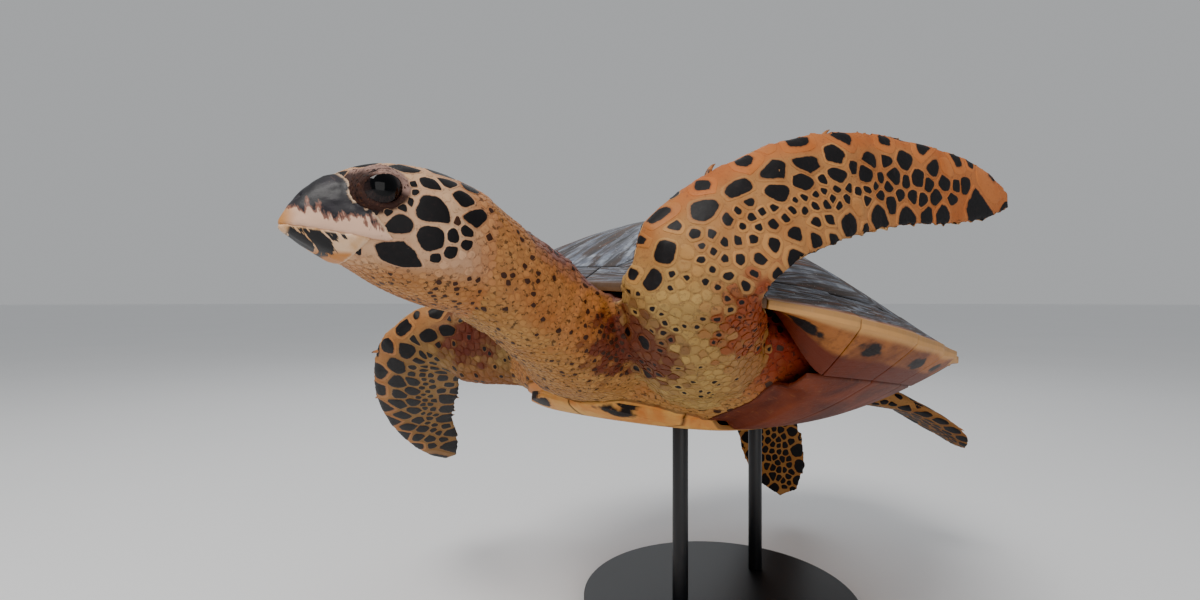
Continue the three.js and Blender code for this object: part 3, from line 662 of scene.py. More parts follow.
def fields(points, normals, owners):
    # everything that a scale, or a place on the skin between scales, needs to know
    count = len(points)
    local = (points - np.array(headFrame.translation)) @ headTurn * 1000
    body = (points - np.array(shellMiddle)) @ turtleTurn * 1000
    size = np.full(count, 2.6)
    stretch = np.full(count, 1.0)
    lie = np.tile(headTurn[:, 1], (count, 1))
    ground = np.tile(tones["tan"], (count, 1))
    mark = np.tile(tones["brown"], (count, 1))
    spot = np.zeros(count)    # share of the scale that its dark mark fills
    chance = np.ones(count)   # of having the mark
    relief = np.full(count, 0.45)
    fleck = np.zeros(count)   # how thick the fine brown flecks lie
    owners = np.array(owners)
    mirrored = np.stack([np.abs(body[:, 0]), body[:, 1], body[:, 2]], axis=1)
    x, y, z = mirrored.T
    ripple = patches["ripple"] * np.sin(0.31 * x + 0.17 * y) * np.sin(0.27 * z - 0.21 * y)
    blood = patchShare("blood", mirrored, ripple)
    raw = patchShare("raw", mirrored, ripple)

    chosen = np.isin(owners, ["head", "lower_jaw", "upper_beak", "lower_beak"])
    x, y, z = local[chosen].T
    throat = smooth(-z, 18, 34)
    ground[chosen] = blended(tones["pinkCream"], tones["tan"], throat)
    rear = smooth(y + 0.3 * z, 18, 42)
    ground[chosen] = blended(ground[chosen], tones["ochre"], 0.8 * rear)
    size[chosen] = 2.4 - 0.7 * throat
    spot[chosen] = 0.85
    chance[chosen] = 0.05 + 0.16 * throat * smooth(y, -30, 0)
    fleck[chosen] = np.maximum(throat * smooth(y, -45, -15), 0.8 * rear)
    relief[chosen] = 0.35

    chosen = np.isin(owners, ["neck", "trunk"])
    x, y, z = body[chosen].T
    along, across, row = limbPlace("neck", points[chosen])
    up = normals[chosen] @ turtleTurn[:, 2]
    top = smooth(up, 0.15, 0.75) * smooth(along, 0.0, 0.3)
    under = smooth(-up, 0.2, 0.9)
    base = blended(tones["ochre"], tones["tan"], 1 - smooth(along, 0, 0.4))
    base = blended(base, tones["olive"], under * 0.5)
    base = blended(base, tones["nape"], top)
    base = blended(base, tones["rust"], patchShare("rust", mirrored[chosen]))
    ground[chosen] = blended(base, tones["maroon"], 0.9 * blood[chosen])
    mark[chosen] = blended(tones["brown"], tones["black"], top * 0.6)
    size[chosen] = 1.9 + 0.9 * top + 0.5 * smooth(along, 0.5, 1) + 1.0 * smooth(y, -240, -150)
    stretch[chosen] = 1.25
    fleck[chosen] = 0.9 - 0.3 * top
    lie[chosen] = limbs["neck"]["along"][row]
    spot[chosen] = 0.9
    chance[chosen] = 0.08 + 0.42 * top + 0.3 * blood[chosen]
    relief[chosen] = 0.36 + 0.3 * top + 0.25 * blood[chosen]

    for name in ("front_flipper_left", "front_flipper_right"):
        chosen = owners == name
        if not chosen.any():
            continue
        mirror = 1 if name.endswith("left") else -1
        along, across, row = limbPlace(name, points[chosen])
        limb = limbs[name]
        upward = np.cross(limb["along"][row], limb["leadLine"][row])
        under = smooth(mirror * np.sum(upward * normals[chosen], axis=1), -0.2, 0.2)
        shoulder = 1 - smooth(along, 0.18, 0.36)
        blade = smooth(along, 0.3, 0.45)
        leading = smooth(across, 0.35, 0.8)
        outer = smooth(along, 0.45, 0.75)
        base = blended(tones["tan"], tones["orange"],
                       0.85 * np.maximum(leading, smooth(along, 0.5, 0.9)))
        base = blended(base, tones["olive"], shoulder * 0.9)
        # the far front flipper's ground is turned to a darker olive here: painted shade, because that
        # face is turned from the light
        if mirror < 0:
            base += (blended(tones["darkOlive"], tones["tan"], leading) - base) * 0.9
        rust = shoulder * smooth(-across, 0.1, 0.8)
        base = blended(base, tones["rust"], np.maximum(0.5 * rust, 0.9 * raw[chosen]))
        base = blended(base, tones["maroon"], 0.9 * blood[chosen])
        ground[chosen] = blended(tones["cream"], base, under)
        mark[chosen] = tones["black"]
        middle = np.exp(-((across + 0.15) / 0.42) ** 2)
        coarse = 7.6 - 3.7 * middle * (1 - 0.6 * smooth(along, 0.6, 0.9))
        size[chosen] = coarse + (2.6 - coarse) * np.maximum(0.85 * shoulder, raw[chosen])
        stretch[chosen] = np.where(under > 0.5, 1.4 + 0.7 * (mirror < 0), 1.15)
        lie[chosen] = (limb["along"][row] * blade[:, None]
                       + limb["leadLine"][row] * (1 - blade)[:, None])
        dark = 0.66 + 0.26 * outer * (1 - leading) if mirror > 0 else 0.84 + 0.06 * leading
        spot[chosen] = np.where(under > 0.5, dark, 0.95)
        spot[chosen] -= 0.16 * shoulder
        chance[chosen] = np.where(under > 0.5, 0.97 - 0.74 * shoulder, 0.99)
        fleck[chosen] = 0.35 * shoulder + 0.6 * raw[chosen]
        relief[chosen] = 0.45 + 0.4 * raw[chosen] + 0.2 * blood[chosen]

    for name in ("hind_flipper_left", "hind_flipper_right", "tail"):
        chosen = owners == name
        if not chosen.any():
            continue
        along, across, row = limbPlace(name, points[chosen])
        limb = limbs[name]
        ground[chosen] = (tones["ochre"] + tones["darkOlive"]) / 2
        mark[chosen] = tones["black"]
        middle = np.exp(-((across + 0.1) / 0.5) ** 2)
        root = 1 - smooth(along, 0.1, 0.4)
        size[chosen] = (6.4 - 2.2 * middle - 1.6 * root) * (0.7 if name == "tail" else 1)
        stretch[chosen] = 1.35
        lie[chosen] = limb["along"][row]
        spot[chosen] = 0.90
        chance[chosen] = 0.97 - 0.35 * root
        relief[chosen] = 0.45

    # lids: small dark scales lying round the eye
    tilt = radians(sculpt["openingTilt"])
    u, w = local[:, 1] - sculpt["lidMiddle"][0], local[:, 2] - sculpt["lidMiddle"][1]
    ring = np.hypot((u * math.cos(tilt) + w * math.sin(tilt)) / sculpt["lidHalf"][0],
                    (w * math.cos(tilt) - u * math.sin(tilt)) / sculpt["lidHalf"][1])
    lid = (1 - smooth(ring, 0.93, 1.05)) * (np.abs(local[:, 0]) > 10)
    lid = lid * np.isin(owners, ["head", "upper_beak"])
    for middle in eyeMiddles:
        offset = points - np.array(middle)
        near = (np.linalg.norm(offset, axis=1) < 0.03) & (lid > 0.5)
        lie[near] = np.cross(normals[near], offset[near] / np.linalg.norm(offset[near], axis=1)[:, None])
    pale = 0.9 * smooth(local[:, 2] + 0.35 * local[:, 1], 8, 13)
    ground = blended(ground, blended(tones["lid"], tones["lidTop"], pale), lid)
    size = size * (1 - lid) + 1.0 * lid
    stretch = stretch * (1 - lid) + 1.9 * lid
    chance = chance * (1 - lid) + 0.35 * lid
    fleck = fleck * (1 - lid) + 0.5 * lid
    return {"size": size / 1000, "stretch": stretch, "lie": lie, "ground": ground, "mark": mark,
            "spot": spot, "chance": chance, "relief": relief / 1000, "fleck": fleck}


# ---- named scales: place in the head's frame, half length, half width, lean, all in mm ----
headScales = [
    # behind and under the eye
    ((32, 3.7, 22.8), 8.6, 5.0, -8), ((40, 3.7, 8.1), 13.5, 8.6, -14), ((36, 25, 18), 9.6, 6.4, -16),
    ((38, 31, 9.0), 10.4, 6.4, 18), ((39, -14.0, -2.6), 10.6, 7.0, -26), ((41, 5.2, -9.4), 9.4, 7.0, -4),
    ((41, 17.5, -6.4), 4.2, 4.6, 0), ((40, 26.5, -1.6), 5.0, 3.4, 0), ((40, 18, -15), 4.4, 4.2, 0),
    ((40, 27, -9.5), 3.6, 3.4, 0),
    # the lower jaw's long scale, and small ones behind it
    ((34, -10.0, -21.8), 22.0, 8.6, -7), ((26, -31, -24.5), 4.4, 2.6, -20), ((39, 9.5, -20), 4.2, 2.4, 0),
    # the row behind the eye
    ((32, -5.0, 20.0), 3.0, 2.2, 60), ((34, -4.4, 15.0), 3.2, 2.3, 85), ((35, -6.0, 9.6), 3.2, 2.3, 110),
    ((35.6, -10.4, 4.4), 3.2, 2.3, 140), ((34, -16.4, 0.4), 3.2, 2.0, 160),
    # the top of the head
    ((9, -43, 20.5), 8.6, 6.2, 0), ((24, -9, 33.5), 14.0, 6.6, 0), ((9.5, -27, 32), 8.0, 6.4, 0),
    ((20, 14, 36), 12.0, 8.4, 0), ((30, 15, 28), 9.0, 4.6, 0), ((10, 32, 35), 8.6, 8.2, 0),
    ((26, 31, 29), 7.6, 6.2, 0),
]
middleScales = [((0, -9, 36), 10.0, 7.6, 0), ((0, 11, 38.5), 13.0, 8.6, 0)]

# rows of big scales on each face of the limbs: place across, first and last share of the
# length, how many, half length along the limb, half width across it, share of the dark mark
limbRows = {
    "front_flipper": [
        (0.80, 0.08, 0.84, 11, 14.5, 9.5, 0.56), (0.42, 0.10, 0.78, 12, 11.6, 8.2, 0.78),
        (-0.74, 0.56, 0.80, 4, 15.0, 8.5, 0.74), (0.06, 0.46, 0.80, 7, 11.0, 6.2, 0.88),
        (0.42, 0.93, 0.99, 1, 34, 20, 0.30), (-0.42, 0.90, 0.99, 1, 30, 15, 0.94),
    ],
    "hind_flipper": [
        (0.74, 0.35, 0.9, 6, 10.0, 8.0, 0.86), (-0.74, 0.4, 0.9, 5, 10.0, 8.0, 0.86),
    ],
}


seeds = []     # place, normal, node and form of each scale that has its own place


def addSeed(place, form, towards=None):
    point, normal, _, _ = skinSurface.find_nearest(place)
    if towards is None or normal.dot(towards) >= 0:
        seeds.append((point, normal, fleshOwners[fleshTree.find_nearest(point)[2]], form))


skin.data.calc_loop_triangles()
skinPoints = coordinates(skin.data)
skinFaces = np.array([triangle.vertices[:] for triangle in skin.data.loop_triangles])
skinSurface = BVHTree.FromPolygons(skinPoints.tolist(), skinFaces.tolist())
seedPlan = {
    "headSpot": 0.90,      # share of a head scale that its dark mark fills
    "crown": 27,           # scales that lie higher than this on the head, in mm, lie straight
    "darker": 0.22,        # how much bigger the marks of the lower flipper are
    "darkest": 0.9,
    "faceOff": 0.012,      # from a limb's middle line towards its face
}
for scales, signs in ((headScales, (1, -1)), (middleScales, (1,))):
    for (x, y, z), halfLong, halfWide, lean in scales:
        lean = 0 if z > seedPlan["crown"] else radians(lean)
        form = {"long": halfLong / 1000, "wide": halfWide / 1000, "spot": seedPlan["headSpot"],
                "lie": headFrame.to_3x3() @ Vector((0, math.cos(lean), math.sin(lean)))}
        for sign in signs:
            addSeed(headFrame @ (Vector((sign * x, y, z)) / 1000), form)
for name, limb in limbs.items():
    darker = seedPlan["darker"] if name == "front_flipper_right" else 0
    for across, first, last, count, halfLong, halfWide, spot in limbRows.get(name.rsplit("_", 1)[0], []):
        for i in range(count):
            share = first + (last - first) * (i / max(count - 1, 1))
            row = min(int(share * (lineSteps - 1)), lineSteps - 1)
            base = Vector(limb["line"][row])
            lead = Vector(limb["leadLine"][row])
            up = Vector(limb["along"][row]).cross(lead)
            half = limb["halfLine"][row]
            shrink = (0.45 + 0.55 * min(half / 0.04, 1.0)) * (0.5 + 0.5 * smooth(share, 0.08, 0.36))
            form = {"long": halfLong * shrink / 1000, "wide": halfWide * shrink / 1000,
                    "spot": min(spot + darker, seedPlan["darkest"]), "lie": Vector(limb["along"][row])}
            for face in (up, -up):
                addSeed(base + lead * half * across + face * seedPlan["faceOff"], form, face)
named = len(seeds)
print("named scales", named)

# ---- the other scales, thrown at random and kept where there is room ----
scatter = {
    "seed": 7,
    "throws": 3.2,       # throws for each scale that there is room for
    "ground": 2.6,       # a scale's share of the skin against the square of its half length
    "spacing": 0.71,
    "cell": 0.008,
    "reach": 0.0055,
    "beakOnly": 0.021,   # the beak's skin is bare further than this from the eye
    "eyeRim": 0.0004,
}
chooser = np.random.default_rng(scatter["seed"])
random.seed(scatter["seed"])
skinNormals = vertexNormals(skin.data)
skinOwners = np.array([fleshOwners[fleshTree.find_nearest(Vector(point))[2]] for point in skinPoints])
skinFields = fields(skinPoints, skinNormals, skinOwners)
bare = np.array([isCovered(Vector(point), Vector(normal))
                 for point, normal in zip(skinPoints, skinNormals)])
eyeGaps = np.min([np.linalg.norm(skinPoints - np.array(middle), axis=1) for middle in eyeMiddles],
                 axis=0)
horny = np.isin(skinOwners, ["upper_beak", "lower_beak"]) & (eyeGaps > scatter["beakOnly"])
barren = bare | horny | (eyeGaps < skinPlan["eyeRadius"] + scatter["eyeRim"])
corners = skinPoints[skinFaces]
faceAreas = np.linalg.norm(np.cross(corners[:, 1] - corners[:, 0], corners[:, 2] - corners[:, 0]),
                           axis=1) / 2
firstCorner = skinFaces[:, 0]
density = faceAreas / (skinFields["size"][firstCorner] ** 2 * scatter["ground"])
density[barren[skinFaces].any(axis=1)] = 0
throws = int(density.sum() * scatter["throws"])
picked = chooser.choice(len(density), throws, p=density / density.sum())
mixes = np.sort(chooser.random((throws, 2)), axis=1)
mixes = np.stack([mixes[:, 0], mixes[:, 1] - mixes[:, 0], 1 - mixes[:, 1]], 1)
thrown = np.einsum("ij,ijk->ik", mixes, corners[picked])

room = throws + named
places, turned, lies = np.empty((room, 3)), np.empty((room, 3)), np.empty((room, 3))
longs, wides = np.empty(room), np.empty(room)
owners = []
grid = {}
cell = scatter["cell"]


def settle(point, normal, lie, long, wide, owner):
    # keeps a scale, and notes it in every cell of space that it might crowd
    row = len(owners)
    places[row], turned[row], lies[row], longs[row], wides[row] = point, normal, lie, long, wide
    owners.append(owner)
    reach = max(long, wide) + scatter["reach"]
    low = [int(math.floor((c - reach) / cell)) for c in point]
    high = [int(math.floor((c + reach) / cell)) for c in point]
    for x in range(low[0], high[0] + 1):
        for y in range(low[1], high[1] + 1):
            for z in range(low[2], high[2] + 1):
                grid.setdefault((x, y, z), []).append(row)


for point, normal, owner, form in seeds:
    lie = (form["lie"] - normal * form["lie"].dot(normal)).normalized()
    settle(point, normal, lie, form["long"], form["wide"], owner)
for i in range(throws):
    point = thrown[i]
    vertex = firstCorner[picked[i]]
    size = skinFields["size"][vertex]
    normal = skinNormals[vertex]
    near = grid.get(tuple(int(math.floor(c / cell)) for c in point))
    if near:
        offset = places[near] - point
        alongTheirs = np.sum(offset * lies[near], axis=1)
        acrossTheirs = np.sum(offset * offset, axis=1) - alongTheirs ** 2
        gap = scatter["spacing"] * size
        crowded = (alongTheirs / (longs[near] + gap)) ** 2 + acrossTheirs / (wides[near] + gap) ** 2
        if np.any((crowded < 1) & (turned[near] @ normal > 0.1)):
            continue
    lie = skinFields["lie"][vertex]
    lie = lie - normal * (lie @ normal)
    stretch = skinFields["stretch"][vertex] ** 0.5
    settle(point, normal, lie / np.linalg.norm(lie), size * stretch, size / stretch,
           skinOwners[vertex])
total = len(owners)
places, turned, lies = places[:total], turned[:total], lies[:total]
longs, wides = longs[:total], wides[:total]
print("scales placed", total)


# ---- each scale's outline: the ground nearer to it than to its neighbours ----
outlinePlan = {
    "widest": 1.5,             # the most that a scale grows, against its half length
    "corners": 16,
    "neighbours": 34,
    "reach": (2.2, 0.004),     # how far off a neighbour counts: against the half length, and more
    "settling": 0.8,           # how far each scale moves to the middle of its ground
    "rounding": 0.22,
    "least": 0.00055,          # a shorter side is dropped
    "twiceRounded": 0.0055,    # longer scales are rounded twice
}
cross = np.cross(turned, lies)


def flatPlace(i, x, y):
    # from a scale's flat frame, x along its lie and y across, to a step in space
    return lies[i] * x + cross[i] * y


def neighboursOf(i, tree):
    times, more = outlinePlan["reach"]
    reach = times * longs[i] + more
    return [j for _, j, gap in tree.find_n(places[i], outlinePlan["neighbours"])
            if j != i and gap < reach + longs[j] and turned[i] @ turned[j] > 0.05]


def cut(outline, nx, ny, limit):
    # the part of a flat outline where nx * x + ny * y < limit
    result = []
    previous = outline[-1]
    before = nx * previous[0] + ny * previous[1] - limit
    for corner in outline:
        now = nx * corner[0] + ny * corner[1] - limit
        if (before < 0) != (now < 0):
            t = before / (before - now)
            result.append((previous[0] + t * (corner[0] - previous[0]),
                           previous[1] + t * (corner[1] - previous[1])))
        if now < 0:
            result.append(corner)
        previous, before = corner, now
    return result


def outlineOf(i, tree):
    # in the scale's own flat frame
    stretch = longs[i] / wides[i]
    reach = outlinePlan["widest"] * longs[i]
    turns = (k * math.tau / outlinePlan["corners"] for k in range(outlinePlan["corners"]))
    outline = [(reach * math.cos(a), reach / stretch * math.sin(a)) for a in turns]
    near = neighboursOf(i, tree)
    if not near:
        return outline
    offset = places[near] - places[i]
    for x, y, j in zip(offset @ lies[i], offset @ cross[i], near):
        gap = math.hypot(x, y)
        if gap < 1e-6:
            continue
        ux, uy = x / gap, y / gap
        mine = 1 / math.hypot(ux / longs[i], uy / wides[i])
        towards = flatPlace(i, ux, uy)
        theirs = 1 / math.hypot((towards @ lies[j]) / longs[j], (towards @ cross[j]) / wides[j])
        share = mine / (mine + theirs)
        outline = cut(outline, ux / (mine * mine), uy / (mine * mine), share * gap / (mine * mine))
        if len(outline) < 3:
            return []
    return outline


def outlinesOfAll():
    tree = KDTree(total)
    for i in range(total):
        tree.insert(places[i], i)
    tree.balance()
    return [outlineOf(i, tree) for i in range(total)]


def rounded(outline, passes):
    b = outlinePlan["rounding"]
    a = 1 - b
    for _ in range(passes):
        result = []
        for k, (x0, y0) in enumerate(outline):
            x1, y1 = outline[(k + 1) % len(outline)]
            result.append((a * x0 + b * x1, a * y0 + b * y1))
            result.append((b * x0 + a * x1, b * y0 + a * y1))
        outline = result
    return outline


def cleaned(outline):
    if len(outline) <= 3:
        return outline
    return [p for k, p in enumerate(outline) if math.dist(p, outline[k - 1]) > outlinePlan["least"]]


outlines = outlinesOfAll()
print("scales outlined")

# one round of settling: each scale moves to the middle of its ground
for i in range(named, total):
    if len(outlines[i]) > 2:
        moved = places[i] + outlinePlan["settling"] * flatPlace(i, *np.mean(outlines[i], axis=0))
        places[i] = skinSurface.find_nearest(Vector(moved))[0]
outlines = outlinesOfAll()
scaleFields = fields(places, turned, owners)
print("scales settled")

# ---- the scales' solids ----
scaleForm = {
    "gap": 0.00034,      # half the groove between two scales
    "sunk": 0.0005,      # how far the sides run on into the skin
    "rings": [(1.0, None), (0.975, 0.62), (0.90, 0.95), (0.55, 1.05)],   # share, rise
    "fewRings": [(1.0, None), (0.95, 0.8), (0.58, 1.03)],
    "bentRings": [(1.0, None), (0.97, 0.62), (0.88, 0.95), (0.70, 1.0), (0.48, 1.03), (0.24, 1.08)],
    "top": 1.12,
    "small": 0.0042,     # a shorter scale has few rings
    "bent": 0.86,        # past this bend a scale gets more rings, so that the skin stays under it
    "wrap": 0.7,         # a scale thins where it bends round an edge of the skin
    "patch": 0.003,      # size of a scale's patch on the skin's unwrap
}
skinUv = np.empty(len(skin.data.loops) * 2, np.float32)
skin.data.uv_layers["OFBake"].data.foreach_get("uv", skinUv)
skinUv = skinUv.reshape(-1, 2)
triangleLoops = np.array([triangle.loops[:] for triangle in skin.data.loop_triangles])


def uvAt(point, face):
    # where a place on the skin lies on the skin's unwrap
    a, b, c = skinPoints[skinFaces[face]]
    ab, ac, ap = b - a, c - a, np.array(point) - a
    d00, d01, d11, d20, d21 = ab @ ab, ab @ ac, ac @ ac, ap @ ab, ap @ ac
    scale = d00 * d11 - d01 * d01
    v = (d11 * d20 - d01 * d21) / scale
    w = (d00 * d21 - d01 * d20) / scale
    first, second, third = skinUv[triangleLoops[face]]
    return first * (1 - v - w) + second * v + third * w


class Coat:
    # the arrays that one mesh of scales is made from

    def __init__(self):
        self.verts, self.faces, self.uvs = [], [], []
        self.ground, self.mark, self.form = [], [], []


def markOf(i):
    # the dark mark's share of the scale, and its colour
    if i < named:
        return seeds[i][3]["spot"] + random.uniform(-0.05, 0.05), tones["black"]
    hasMark = random.random() < scaleFields["chance"][i]
    markShare = scaleFields["spot"][i] + random.uniform(-0.1, 0.06)
    return markShare if hasMark else 0.0, scaleFields["mark"][i]


def growScale(coat, i, outline):
    middle = np.mean(outline, axis=0)
    outline = [tuple(p) for p in (np.array(outline) - middle)]
    centre = places[i] + lies[i] * middle[0] + cross[i] * middle[1]
    inner = min(abs(x * y1 - y * x1) / max(math.dist((x, y), (x1, y1)), 1e-9)
                for (x, y), (x1, y1) in zip(outline, outline[1:] + outline[:1]))
    if inner < 2.2 * scaleForm["gap"]:
        return
    shrink = 1 - scaleForm["gap"] / inner
    hit = skinSurface.find_nearest(Vector(centre))
    root = uvAt(hit[0], hit[2])
    up = 0.5 * turned[i] + 0.5 * np.array(hit[1])
    up /= np.linalg.norm(up)
    relief = scaleFields["relief"][i] * min(1.0, 0.4 + inner / 0.004)
    start = len(coat.verts)
    count = len(outline)
    markShare, mark = markOf(i)
    shade = random.random()
    spanLow = np.min(outline, axis=0)
    span = max(np.ptp(np.array(outline), axis=0))
    rings = scaleForm["fewRings"] if longs[i] < scaleForm["small"] else scaleForm["rings"]
    feet = (skinSurface.find_nearest(Vector(centre + flatPlace(i, x, y))) for x, y in outline[::2])
    if "flipper" in owners[i] and min(foot[1] @ Vector(up) for foot in feet) < scaleForm["bent"]:
        rings = scaleForm["bentRings"]
    for share, rise in rings:
        for x, y in outline:
            fx, fy = x * shrink * share, y * shrink * share
            flat = centre + lies[i] * fx + cross[i] * fy
            spot = skinSurface.find_nearest(Vector(flat))
            normal = np.array(spot[1]) * 0.6 + up * 0.4
            facing = min(max((spot[1] @ Vector(up)) / scaleForm["wrap"], 0), 1)
            lift = -scaleForm["sunk"] if rise is None else relief * rise * facing
            coat.verts.append(np.array(spot[0]) + normal * lift)
            coat.form.append((1 - share, markShare, shade, 1))
            across = (np.array((x, y)) * share - spanLow) / span - 0.5
            coat.uvs.append(root + scaleForm["patch"] * across)
    coat.verts.append(np.array(hit[0]) + up * relief * scaleForm["top"])
    coat.form.append((1, markShare, shade, 1))
    coat.uvs.append(root)
    for ring in range(len(rings) - 1):
        low, high = start + ring * count, start + (ring + 1) * count
        for k in range(count):
            n = (k + 1) % count
            coat.faces.append((low + k, low + n, high + n, high + k))
    last = start + (len(rings) - 1) * count
    top = start + len(rings) * count
    for k in range(count):
        coat.faces.append((last + k, last + (k + 1) % count, top))
    added = len(coat.verts) - start
    coat.ground.extend([(*scaleFields["ground"][i], scaleFields["fleck"][i])] * added)
    coat.mark.extend([(*mark, 1)] * added)


def colourLayer(mesh, name, values):
    layer = mesh.color_attributes.new(name, "FLOAT_COLOR", "POINT")
    layer.data.foreach_set("color", np.array(values, np.float32).ravel())


coatGroups = {
    "headScales": ["head", "lower_jaw", "upper_beak", "lower_beak"],
    "neckScales": ["neck"],
    "chestScales": ["trunk"],
    "frontFlipperLeftScales": ["front_flipper_left"],
    "frontFlipperRightScales": ["front_flipper_right"],
    "hindScales": ["hind_flipper_left", "hind_flipper_right", "tail"],
}
coats = []
for coatName, members in coatGroups.items():
    coat = Coat()
    for i in range(total):
        if owners[i] not in members or len(outlines[i]) < 3:
            continue
        outline = cleaned(outlines[i])
        if len(outline) < 3:
            continue
        passes = 2 if longs[i] > outlinePlan["twiceRounded"] else 1
        growScale(coat, i, rounded(outline, passes))
    mesh = bpy.data.meshes.new(coatName)
    mesh.from_pydata([tuple(v) for v in coat.verts], [], coat.faces)
    colourLayer(mesh, "ground", coat.ground)
    colourLayer(mesh, "mark", coat.mark)
    colourLayer(mesh, "form", coat.form)
    uvLayer = mesh.uv_layers.new(name="OFBake")
    uvs = np.array(coat.uvs, np.float32)
    loops = np.empty(len(mesh.loops), np.int32)
    mesh.loops.foreach_get("vertex_index", loops)
    uvLayer.data.foreach_set("uv", uvs[loops].ravel())
    mesh.validate()
    piece = newPiece(coatName, mesh)
    makeActive(piece)
    bpy.ops.object.shade_smooth_by_angle(angle=radians(40))
    coats.append(piece)
    print(coatName, sum(len(face.vertices) - 2 for face in mesh.polygons), "triangles")
colourLayer(skin.data, "ground", np.hstack([skinFields["ground"], skinFields["fleck"][:, None]]))


# ---- skin and scale materials ----
def hideMaterial(name, isSkin):
    material, start, place = newMaterial(name)
    ground = attribute(start, "ground")
    warm = place.noise(38, 3).step(0.35, 0.7)
    grain = place.noise(420, 4, 0.65)
    fine = place.noise(1500, 3, 0.6)
    deeper = {"Hue": 0.485, "Saturation": 1.1, "Value": 0.78, "Color": ground}
    colour = (warm * 0.5).mixed(ground, ground.node("HueSaturation", None, deeper))
    speckle = grain.step(0.56, 0.68)
    flecks = place.noise(330, 3, 0.6).step(0.57, 0.62) * attribute(start, "ground", 3)
    if isSkin:
        colour = (speckle * 0.35 + 0.22).mixed(colour, rgba(98, 60, 46))
        colour = (flecks * 0.8).mixed(colour, rgba(46, 26, 20))
        roughness = 0.66 + grain * 0.15
        height = grain * 0.7 + fine * 0.3
        bump = (0.55, 0.0006)
    else:
        form = attribute(start, "form")
        edge, markShare, shade = form.parts()
        colour = (speckle * 0.30).mixed(colour, rgba(134, 78, 40))
        colour = (shade * shade * 0.34).mixed(colour, rgba(112, 70, 40))
        colour = (flecks * 0.8).mixed(colour, rgba(46, 26, 20))
        ragged = place.noise(190, 4, 0.6) - 0.5
        distance = edge - (1 - markShare) + ragged * 0.26
        hasMark = markShare.step(0.02, 0.06)
        mask = distance.step(-0.015, 0.03) * hasMark
        ring = distance.step(-0.11, 0.0) * hasMark * (1 - mask)
        colour = (ring * 0.5).mixed(colour, rgba(112, 56, 26))
        dark = attribute(start, "mark")
        lighter = place.noise(260, 4, 0.7).step(0.5, 0.78)
        dark = (lighter * 0.16).mixed(dark, rgba(70, 46, 42))
        colour = mask.mixed(colour, dark)
        roughness = 0.50 + grain * 0.16
        height = grain * 0.6 + fine * 0.4
        bump = (0.4, 0.00035)
    return finishMaterial(material, colour, roughness, height, bump, {"Specular IOR Level": 0.32})


skinHide = hideMaterial("wrinkledSkin", True)
scaleHide = hideMaterial("skinScales", False)
handIn(skin, skinHide, skinNames)
for piece in coats:
    handIn(piece, scaleHide)


# ---- the shell: its plates ----
def horn(name, acrossCount, alongCount, placed, tag, rim=0.0007):
    # a slab of horn: placed(s, t, under) gives its surface in mm, s and t run over the scute
    deselectAll()
    bpy.ops.mesh.primitive_grid_add(x_subdivisions=acrossCount, y_subdivisions=alongCount,
                                    size=1, location=(0.5, 0.5, 0))
    bpy.ops.object.transform_apply(location=True)
    piece = bpy.context.object
    piece.name = name
    bpy.ops.object.mode_set(mode="EDIT")
    bpy.ops.mesh.select_all(action="SELECT")
    bpy.ops.mesh.extrude_region_move(TRANSFORM_OT_translate={"value": (0, 0, -1)})
    bpy.ops.object.mode_set(mode="OBJECT")
    form = []
    for vert in piece.data.vertices:
        s, t, under = vert.co.x, vert.co.y, vert.co.z < -0.5
        form.append((s, t, tag, 0.0 if under else 1.0))
        vert.co = turtleFrame @ (Vector(placed(s, t, under)) / 1000)
    colourLayer(piece.data, "form", form)
    bpy.ops.object.mode_set(mode="EDIT")
    bpy.ops.mesh.select_all(action="SELECT")
    bpy.ops.mesh.normals_make_consistent(inside=False)
    bpy.ops.object.mode_set(mode="OBJECT")
    applyModifier(piece, "BEVEL", width=rim, segments=2, limit_method="ANGLE",
                  angle_limit=radians(50))
    bpy.ops.object.shade_smooth_by_angle(angle=radians(38))
    return piece


scutes = {
    "lift": 1.9,          # how far the rear edge of a scute stands over the next, mm
    "ragged": 1.1,
    "ringDeep": 0.16,
    "rings": 26,
    "ridgeHigh": 0.35,
    "ridges": 4.5,
    "gap": 0.0018,        # between the marginals and the scutes, as a share of the outline
    "bulge": 12,          # how far the seams of the costals bend forward
    "splay": 0.0016,      # half the gap between two marginals, as a turn
    "costalSplay": 0.002,
}
innerShare = shell["inner"] - scutes["gap"]


def growth(s, t, centre, tag):
    # rings and ridges of growth round a scute's oldest place
    gap = math.hypot(s - centre[0], t - centre[1])
    wave = abs(math.sin(gap * scutes["rings"] + tag * 9)) ** 3
    spin = math.atan2(t - centre[1], s - centre[0])
    ridge = noise.noise(Vector((spin * scutes["ridges"], gap * 1.3, tag * 30))) * scutes["ridgeHigh"]
    return ridge * smoothstep(gap, 0.05, 0.3) - wave * scutes["ringDeep"] * smoothstep(gap, 0.15, 0.5)


def raggedEdge(s, t, tag):
    return noise.noise(Vector((s * 20, tag * 17, 0))) * scutes["ragged"] * smoothstep(t, 0.7, 1)


def innerEdge(x, front):
    reach, power = shell["front"] if front else shell["rear"]
    part = abs(x) / (shell["halfWide"] * innerShare)
    span = reach * innerShare * max(1 - part ** power, 0) ** (1 / power)
    return shell["widest"] - span if front else shell["widest"] + span


# each vertebral's front edge, as place along and half width, and the widest line of the first four
vertebralEnds = [(innerEdge(60, True), 60), (-150, 50), (-42, 52), (60, 48), (159, 40)]
vertebralMiddles = []
for i, half in enumerate([74, 76, 76, 66]):
    startY = innerEdge(half, True) if i == 0 else vertebralEnds[i][0]
    vertebralMiddles.append(((startY + vertebralEnds[i + 1][0]) / 2, half))
costalTurns = [0.39, 1.42, 2.045, 2.566, 2.893]
rearCorner = outlineAt(costalTurns[-1], innerShare)


